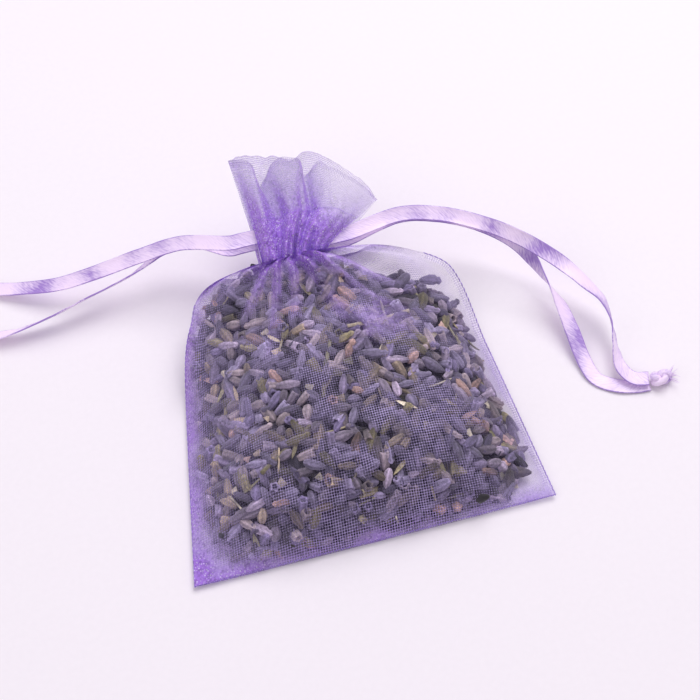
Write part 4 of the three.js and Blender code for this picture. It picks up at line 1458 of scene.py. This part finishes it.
class SACHET_OT_stems(bpy.types.Operator):
    """Add the dried stems among the buds"""

    bl_idname = "sachet.stems"
    bl_label = "Stems"

    half_length = 6.4
    radius = 0.42

    def execute(self, context):
        nodes = sorted(n for n in frame["nodes"] if n.startswith("stem"))

        def stem(k):
            places = np.linspace(-self.half_length, self.half_length, 12)
            node_bump = 0.1 * np.exp(-((places - 2 + k) ** 2) / 0.3)
            radius = self.radius + 0.08 * np.sin(places * 1.9 + k) + node_bump
            points, faces = lathe(list(zip(places, radius)), 8, 0.12, 0.012 * (-1) ** k)
            return plain_shape(points, faces, 0.8, 1.0, 0.8)

        placed_set("dried_stems", nodes, stem, "dried_stem")
        return {"FINISHED"}


def drape(points, obstacle, fixed, rounds):
    """Let a grid of cloth settle on an obstacle: points between held ones sink until the buds carry them."""
    lowest = 0.9
    over_bud = 0.14
    above = 40.0
    down = Vector((0, 0, -1))
    height = points[:, :, 2].copy()
    floor = np.full(height.shape, lowest)
    for i, j in np.ndindex(height.shape):
        place, _, _, _ = obstacle.ray_cast(Vector((points[i, j, 0], points[i, j, 1], above)) * MM, down)
        if place is not None:
            floor[i, j] = place.z / MM + over_bud
    for _ in range(rounds):
        level = height.copy()
        level[1:-1, 1:-1] = (
            height[:-2, 1:-1] + height[2:, 1:-1] + height[1:-1, :-2] + height[1:-1, 2:]
        ) / 4
        height = np.where(fixed, points[:, :, 2], np.maximum(level, floor))
    return height


def row_steps(rows):
    """Length along the cloth at each row, as the mean over its columns."""
    steps = np.linalg.norm(np.diff(rows, axis=0), axis=2).mean(axis=1)
    return np.append(0, np.cumsum(steps))


class SACHET_OT_panels(bpy.types.Operator):
    """Add the two organza panels: body, casing, frill and the hem turned in behind them"""

    bl_idname = "sachet.panels"
    bl_label = "Organza Panels"

    columns = 200
    body_count = 150
    casing_count = 22
    frill_count = 40
    drape_rounds = 160
    held_length = 3.0

    # Long folds: how their lines curve, their width at the lower end and at the neck, how far past the neck
    # they would end, and the length over which they flatten towards it.
    fold_curve = 0.8
    fold_spread = (1.6, 0.8)
    fold_end = 1.5
    fold_fall = 6
    # Small crumples of the front cloth, at their full height from this length above the bottom edge.
    crumple_scale = 0.16
    crumple_height = 0.25
    slack_length = 12
    # Swell of the casing over its ribbons, and the puckers along it.
    swell_height = 0.5
    pucker_height = 0.35
    # Frill: how far it goes straight on from the casing, how much it has spread by then, where its slewed
    # right part begins, its ripples, the gap to its lining, and how much finer its weave is drawn.
    frill_lead = 4.5
    frill_spread = 0.18
    frill_slew = 0.3
    ripple_scale = 0.09
    ripple_height = 0.5
    frill_gap = 0.3
    frill_weave = 1.4

    # Layers of cloth that a look meets beyond the cloth itself: at the left edge, the right edge, the bottom
    # from left to right, the lower left corner and the seams, on long folds and doubled cloth, at the neck,
    # in the casing from its foot to its top at the left and at the right, and in the hem.
    left_layers = 5.0
    right_layers = 0.2
    bottom_layers = (4.6, 2.4)
    corner_layers = 3.6
    seam_layers = 0.5
    fold_layers = 3.6
    doubled_layers = 3.0
    neck_layers = 6.0
    casing_layers = (9.0, 6.0, 1.8)
    hem_layers = 0.6
    # Layers of the frill at its root and at its free edge, each at the left and at the right, which begins
    # and is full at these shares of the width.
    root_layers = (5.6, 2.2)
    free_layers = (1.6, 0.55)
    right_part = (0.55, 0.78)
    # How far the layers at the left and bottom edges, the right edge, the corner and the neck reach; the
    # last is in rows. Those at the left and bottom are uneven: mean, swing and scale.
    edge_reach = 3.0
    right_reach = 5.0
    corner_reach = 10.0
    neck_reach = 16.0
    uneven = (0.75, 0.9, 0.13)
    # A step of cloth counts as seen over at least this share of the mean step, and slopes and crowded cloth
    # count for no more than these.
    least_seen = 0.3
    most_slope = 3.5
    most_crowd = 1.6

    def execute(self, context):
        settings = context.scene.sachet
        form = BagForm(settings.bag)
        bed = bpy.data.objects["lavender_bed"]
        buds = BVHTree.FromObject(bed, context.evaluated_depsgraph_get())
        for face in (1, -1):
            rows = self.rows(form, face, buds)
            self.panel(form, face, rows)
        return {"FINISHED"}

    def rows(self, form, face, buds):
        """Rows of cloth from the bottom edge up to the free edge and back down inside the casing."""
        u = np.linspace(-1, 1, self.columns)
        body = self.body_rows(form, face, u, buds)
        depth, phase, _ = GATHERS[face]
        gather = form.pleats(u, phase)[None, :]
        along = np.linspace(0, CASING_LENGTH, self.casing_count)[:, None]
        st = form.casing_station(along)
        share = along / CASING_LENGTH
        swell = self.swell_height * np.sin(math.pi * share) ** 0.6
        pucker = self.pucker_height * np.sin(2.2 * along + 9 * u[None, :] + phase) * gather
        fine = depth * gather * mix(1.0, 0.5, share)
        puff = PUFF_DEPTH * form.puffs(u)[None, :] * mix(0.1, 1.0, share)
        broad = PLEAT_DEPTH * form.broad(u)[None, :] * (1 - share)
        outer = mix(NECK_INNER, CASING_TOP, share**4) + fine + puff + broad + swell + pucker
        inner = TUNNEL_LIFT - TUNNEL_GAP / 2 - LINING_GATHER * gather
        casing = form.point(st, u[None, :], face * outer)
        lining = form.point(st, u[None, :], face * inner)
        # The right end of the casing is drawn down, so that its side runs straight on into the frill's.
        drop = CASING_SLEW * along * smooth(u, 0.2, 1)[None, :]
        # The rear lining follows it by half, which leaves the right ribbon room to rise.
        for grid, follow in ((casing, 1.0), (lining, 1.0 if face > 0 else 0.5)):
            grid[:, :, 1] -= follow * drop * math.cos(NECK_TILT)
            grid[:, :, 2] -= follow * drop * math.sin(NECK_TILT)
        frill, back = self.frill_rows(form, face, u, casing[-1], lining[-1])
        rows = np.concatenate([body, casing[1:], frill[1:], back[::-1], lining[::-1][1:]])
        self.counts = (len(body), len(casing) - 1, len(frill) - 1, len(back))
        return rows

    def body_rows(self, form, face, u, buds):
        """Cloth over the body, with the gathers that run down from the neck."""
        s = form.body * (1 - np.cos(np.linspace(0, math.pi, self.body_count))) / 2
        st = {key: value[:, None] for key, value in form.station(s).items()}
        grid_u = np.broadcast_to(u[None, :], (len(s), len(u)))
        depth, phase, reach = GATHERS[face]
        fade = smooth(s, form.body - reach, form.body)[:, None] ** 1.5
        fine = depth * form.pleats(u, phase)[None, :] * fade
        broad = PLEAT_DEPTH * form.broad(u)[None, :] * st["gather"]
        self.folded = np.zeros(grid_u.shape)
        if face > 0:
            return self.front_rows(form, s, st, grid_u, fine + broad, buds)
        return self.rear_rows(form, s, st, grid_u, 1.8 * fine + broad * st["gather"])

    def rear_rows(self, form, s, st, u, gathers):
        """Rear cloth, on the table under the buds."""
        rows = form.point(st, u, -(form.rear_height(st, u) + gathers))
        rows[:, :, 2] = np.maximum(rows[:, :, 2], LOWEST)
        # Its sides meet those of the front cloth up to the casing, where the ribbons leave.
        meeting = smooth(s, *SIDE_JOIN) * (1 - smooth(s, form.body - SIDE_FREE, form.body))
        toward = np.abs(u[0]) ** 10
        for column, half in ((0, u[0] < 0), (-1, u[0] > 0)):
            apart = (self.front_edges[:, column] - rows[:, column]) * meeting[:, None]
            rows[:, half] += apart[:, None] * toward[None, half, None]
        return rows

    def front_rows(self, form, s, st, u, gathers, buds):
        """Front cloth, settled on the buds, with the long folds that run down from the neck."""
        rows = form.point(st, u, form.front_height(st, u))
        fixed = np.zeros(u.shape, bool)
        fixed[:, [0, -1]] = True
        fixed[0] = True
        fixed[s > form.body - self.held_length] = True
        rows[:, :, 2] = drape(rows, buds, fixed, self.drape_rounds)
        x = rows[:, :, 0]
        ridge = np.zeros(x.shape)
        for neck_x, end_x, end_s, height, half in FOLDS:
            share = np.clip((s - end_s) / (form.body - end_s), 0, 1)
            line = mix(end_x, neck_x + NECK_OFFSET, share**self.fold_curve)[:, None]
            fall = np.minimum((form.body + self.fold_end - s) / self.fold_fall, 1)
            size = height * np.sqrt(share) * fall
            spread = half * mix(*self.fold_spread, share)[:, None]
            ridge += size[:, None] * bell(x - line, spread)
            self.folded += self.fold_layers * np.sqrt(share)[:, None] * bell(x - line, 1.5 * spread, 4)
        across, along, half_x, half_s = DOUBLED
        self.folded += self.doubled_layers * bell(x - across, half_x, 4) * bell(s - along, half_s, 4)[:, None]
        scale = self.crumple_scale
        crumple = np.array([
            [noise.noise(Vector((p[0] * scale, p[1] * scale, 4.0))) for p in row] for row in rows
        ])
        slack = np.clip(s / self.slack_length, 0, 1)[:, None] * (1 - u**8)
        lift = gathers + ridge + self.crumple_height * crumple * slack
        rows[:, :, 1] -= lift * np.sin(st["tilt"])
        rows[:, :, 2] += lift * np.cos(st["tilt"])
        self.front_edges = rows[:, [0, -1]]
        return rows

    def frill_rows(self, form, face, u, root, inner_root):
        """Frill over the casing, from the neck's gathers to the waves of its free edge, and its lining."""
        edge_points = np.array(FRONT_EDGE if face > 0 else REAR_EDGE, float)
        top = form.casing_point(0, CASING_LENGTH / 2, 0)
        along = np.array([0, math.cos(FRILL_LEAN), math.sin(FRILL_LEAN)])
        out = np.array([0, -math.sin(FRILL_LEAN), math.cos(FRILL_LEAN)])
        control = top + edge_points @ np.array([(1.0, 0, 0), along, out])
        edge, _, _ = spline(control, self.columns)
        lead = form.casing_point(0, CASING_LENGTH / 2 + self.frill_lead, 0) - top
        w = np.linspace(0, 1, self.frill_count)[:, None, None]
        right = smooth(u, self.frill_slew, 1)[:, None]
        waves = waver(range(self.columns), self.ripple_scale, face * 5.0, 2.0)[None, :, None]
        ripple = w**2 * waves * self.ripple_height * along
        spread = np.array([self.frill_spread, 0, 0])
        rows = []
        for start in (root, inner_root):
            bend = start + lead * (1 - right) + (edge - start) * mix(spread, 0.5, right)
            rows.append((1 - w) ** 2 * start + 2 * w * (1 - w) * bend + w**2 * edge + ripple)
        frill, back = rows
        gap = self.frill_gap * face * out * np.sin(np.linspace(0, math.pi, self.frill_count))[:, None, None]
        return frill, (back - gap)[:-1]

    def edge_layers(self, form, flat_x, down):
        """Layers that the seams and the cloth turned in along them add to the body."""
        mean, swing, scale = self.uneven
        uneven_side = (mean + swing * waver(down, scale, 3.0, 9.0))[:, None]
        uneven_foot = (mean + swing * waver(flat_x, scale, 5.0, 2.0))[None, :]
        near_left = self.left_layers * bell(flat_x, self.edge_reach)[None, :] * uneven_side
        near_right = self.right_layers * bell(form.width - flat_x, self.right_reach)[None, :]
        foot = mix(*self.bottom_layers, flat_x / form.width)[None, :] * uneven_foot
        near_bottom = foot * bell(down, self.edge_reach)[:, None]
        reach = self.corner_reach
        corner = self.corner_layers * bell(flat_x, reach)[None, :] * bell(down, reach)[:, None]
        edges = np.maximum(np.maximum(near_left, near_bottom), near_right) + corner
        side = np.minimum(flat_x, form.width - flat_x)[None, :]
        return np.maximum(edges, 0) + self.seam_layers * np.exp(-side)

    def density(self, form, rows, flat_x, down):
        """Layers of cloth that a look from the front meets: more on slopes of folds and in the gathers."""
        steps = np.linalg.norm(np.diff(rows, axis=1), axis=2)
        seen = np.abs(np.diff(rows[:, :, 0], axis=1))
        slope = steps / np.maximum(seen, self.least_seen * steps.mean(axis=1, keepdims=True))
        slope = np.pad(slope, ((0, 0), (1, 1)), mode="edge")
        slope = np.clip((slope[:, 1:] + slope[:, :-1]) / 2, 1, self.most_slope)
        crowd = np.clip(form.width / steps.sum(axis=1), 1, self.most_crowd)[:, None]
        layers = crowd * slope**0.8
        body, casing, frill, back = self.counts
        layers[:body] += self.edge_layers(form, flat_x, down[:body]) + self.folded
        layers[:body] += self.neck_layers * bell(np.arange(body) - body, self.neck_reach)[:, None]
        right = smooth(flat_x / form.width, *self.right_part)[None, :]
        foot, top_left, top_right = self.casing_layers
        upward = np.linspace(0, 1, casing)[:, None]
        layers[body : body + casing] += mix(foot, mix(top_left, top_right, right), upward)
        rooted = mix(*self.root_layers, right)
        free = mix(*self.free_layers, right)
        hem = body + casing + frill
        outward = np.linspace(0, 1, frill)[:, None] ** 0.6
        layers[hem - frill : hem] = mix(rooted, free, outward) * slope[hem - frill : hem] ** 0.9
        inward = np.linspace(1, 0, back)[:, None] ** 0.6
        layers[hem : hem + back] = mix(0.6 * rooted, free, inward) * 0.8
        layers[hem - 4 : hem + 3] += self.hem_layers
        return layers

    def panel(self, form, face, rows):
        """Mesh of one panel with its flat measure and its density."""
        name = "front_organza" if face > 0 else "rear_organza"
        down = row_steps(rows)
        flat_x = np.linspace(0, form.width, self.columns)
        density = self.density(form, rows, flat_x, down)
        # The frill's weave is drawn finer, as fine along it as its gathers make it across.
        upper = sum(self.counts[:2])
        down[upper:] = down[upper] + self.frill_weave * (down[upper:] - down[upper])
        cloth = cloth_places(flat_x, down, density)
        faces = grid_faces(len(rows), self.columns, flipped=face < 0)
        obj = add_mesh(name, rows, faces, finish("organza"), {"cloth": cloth})
        node = "front_panel" if face > 0 else "rear_panel"
        settle(obj, "bag", "organza", node)


class SACHET_OT_seams(bpy.types.Operator):
    """Add the seams: the turned-in cloth along the sides and bottom, and its stitching"""

    bl_idname = "sachet.seams"
    bl_label = "Seams"

    end_gap = 0.4
    top_gap = 0.6
    side_points = 160
    bottom_points = 180
    allowance_width = 1.3
    allowance_layers = 1.3
    slant = math.radians(24)

    def execute(self, context):
        bag = context.scene.sachet.bag
        for name, (edge, inward) in self.lines(BagForm(bag)).items():
            strip = self.allowance(name, edge, inward)
            settle(strip, "bag", "organza")
            stitches = stitched(f"{name}_stitches", edge * MM, bag.stitch, bag.thread, self.slant)
            settle(stitches, "bag", "seam_thread", name)
        return {"FINISHED"}

    def lines(self, form):
        """Outer line of each seam and its direction into the bag."""
        s = np.linspace(self.end_gap, form.body - SIDE_OPENING - self.top_gap, self.side_points)
        st = form.station(s)
        lines = {}
        for side, sign in SIDES.items():
            edge = form.point(st, sign * np.ones_like(s), np.zeros_like(s))
            ahead = unit(np.gradient(edge, axis=0))
            inward = unit(np.cross(ahead, (0, 0, -sign)))
            lines[f"{side}_side_seam"] = (edge, inward)
        half = form.width / 2 - self.end_gap
        x = np.linspace(-half, half, self.bottom_points)
        edge = np.stack([x, np.full_like(x, form.bottom), np.full_like(x, SEAM_HEIGHT)], -1)
        lines["bottom_seam"] = (edge, np.tile((0.0, 1.0, 0.0), (len(x), 1)))
        return lines

    def allowance(self, name, edge, inward):
        """Narrow cloth turned into the bag along a seam, cut a little unevenly."""
        shares = np.linspace(0, 1, 7)
        run = run_along(edge)
        uneven = self.allowance_width + 0.3 * waver(run, 0.35, 7.0, 1.0)
        rows = edge[:, None] + inward[:, None] * (shares[None, :] * uneven[:, None])[:, :, None]
        rows[:, :, 2] += 0.18 * np.stack([waver(run, 0.5, c * 2.0, 3.0) for c in shares], -1)
        cloth = cloth_places(shares * self.allowance_width, run, self.allowance_layers)
        faces = grid_faces(len(edge), len(shares))
        return add_mesh(f"{name}_allowance", rows, faces, finish("organza"), {"cloth": cloth})


def stitch_tree(material):
    """Stitches along a line: one plump stitch after another, each turned a little across the line."""
    overlap = 1.15
    tree, start = tree_with("Seam stitches", dict.fromkeys(("Stitch", "Thread", "Slant"), "NodeSocketFloat"))
    path = add_node(tree, "GeometryNodeMeshToCurve", links={0: start.outputs["Geometry"]})
    even = add_node(
        tree,
        "GeometryNodeResampleCurve",
        {"mode": "LENGTH"},
        {"Curve": path.outputs[0], "Length": start.outputs["Stitch"]},
    )
    sites = add_node(tree, "GeometryNodeCurveToPoints", {"mode": "EVALUATED"}, {"Curve": even.outputs[0]})
    radius = add_node(tree, MATH, {"operation": "MULTIPLY", 1: 0.5}, {0: start.outputs["Thread"]})
    bead = add_node(
        tree, "GeometryNodeMeshUVSphere", {"Segments": 8, "Rings": 6}, {"Radius": radius.outputs[0]}
    )
    share = add_node(
        tree, MATH, {"operation": "DIVIDE"}, {0: start.outputs["Stitch"], 1: start.outputs["Thread"]}
    )
    # Neighbouring stitches overlap a little, so the edge is unbroken.
    longer = add_node(tree, MATH, {"operation": "MULTIPLY", 1: overlap}, {0: share.outputs[0]})
    stretch = add_node(tree, "ShaderNodeCombineXYZ", {0: 1.0, 1: 1.0}, {2: longer.outputs[0]})
    turn = add_node(tree, "ShaderNodeCombineXYZ", links={0: start.outputs["Slant"]})
    shaped = add_node(
        tree,
        "GeometryNodeTransform",
        links={"Geometry": bead.outputs[0], "Scale": stretch.outputs[0], "Rotation": turn.outputs[0]},
    )
    laid = add_node(
        tree,
        "GeometryNodeInstanceOnPoints",
        links={
            "Points": sites.outputs[0],
            "Instance": shaped.outputs[0],
            "Rotation": sites.outputs["Rotation"],
        },
    )
    end_tree(tree, laid.outputs[0], material)
    return tree


def stitched(name, line, stitch, thread, slant):
    """Row of stitches along a line of points in metres, laid one by one by a node tree."""
    mesh = bpy.data.meshes.new("stitch_line")
    mesh.from_pydata(line.tolist(), [(k, k + 1) for k in range(len(line) - 1)], [])
    source = bpy.data.objects.new("stitch_line", mesh)
    bpy.context.scene.collection.objects.link(source)
    sizes = {"Stitch": stitch, "Thread": thread, "Slant": slant}
    return baked_from_nodes(source, stitch_tree(finish("thread")), sizes, name)


class SACHET_OT_casing_stitches(bpy.types.Operator):
    """Add the two rows of stitches that close the ribbon tunnels on both panels"""

    bl_idname = "sachet.casing_stitches"
    bl_label = "Casing Stitches"

    # Columns of the panel that a row spans, its way out of the cloth in millimetres, and the share of a
    # seam's stitch and thread that its own have.
    span = slice(3, -6)
    out = (0, -0.034, 0.094)
    stitch_share = 1.2
    thread_share = 0.35

    def execute(self, context):
        bag = context.scene.sachet.bag
        parts = []
        body, casing = SACHET_OT_panels.body_count, SACHET_OT_panels.casing_count
        for face, name in ((1, "front_organza"), (-1, "rear_organza")):
            mesh = bpy.data.objects[name].data
            points = np.zeros(len(mesh.vertices) * 3)
            mesh.vertices.foreach_get("co", points)
            rows = points.reshape(-1, SACHET_OT_panels.columns, 3)
            for row in (body + 1, body + casing - 2):
                line = rows[row, self.span] + np.array(self.out) * face * MM
                stitch = bag.stitch * self.stitch_share
                thread = bag.thread * self.thread_share
                parts.append(stitched(f"{name}_row_{row}", line, stitch, thread, 0.0))
        settle(joined(context, parts, "casing_stitches"), "bag", "seam_thread")
        return {"FINISHED"}


class SACHET_PT_panel(bpy.types.Panel):
    """Buttons and settings of the sachet"""

    bl_idname = "SACHET_PT_panel"
    bl_label = "Lavender Sachet"
    bl_space_type = "VIEW_3D"
    bl_region_type = "UI"
    bl_category = "Sachet"

    def draw(self, context):
        settings = context.scene.sachet
        for operator in OPERATORS:
            self.layout.operator(operator.bl_idname)
        for group in (settings.bag, settings.ribbon, settings.lavender, settings.stage):
            box = self.layout.box()
            for key in group.__annotations__:
                box.prop(group, key)


OPERATORS = (
    SACHET_OT_stage,
    SACHET_OT_drawstrings,
    SACHET_OT_lavender,
    SACHET_OT_loose_buds,
    SACHET_OT_stems,
    SACHET_OT_panels,
    SACHET_OT_seams,
    SACHET_OT_casing_stitches,
)
CLASSES = (SachetBag, SachetRibbon, SachetLavender, SachetStage, SachetSettings, *OPERATORS, SACHET_PT_panel)


def register():
    """Register the classes and the scene's settings."""
    for cls in CLASSES:
        bpy.utils.register_class(cls)
    bpy.types.Scene.sachet = PointerProperty(type=SachetSettings)


def unregister():
    """Take back what register did."""
    del bpy.types.Scene.sachet
    for cls in reversed(CLASSES):
        bpy.utils.unregister_class(cls)


def main():
    """Build the sachet."""
    register()
    bpy.ops.sachet.stage()
    bpy.ops.sachet.drawstrings()
    bpy.ops.sachet.lavender()
    bpy.ops.sachet.loose_buds()
    bpy.ops.sachet.stems()
    bpy.ops.sachet.panels()
    bpy.ops.sachet.seams()
    bpy.ops.sachet.casing_stitches()


if __name__ == "__main__":
    main()
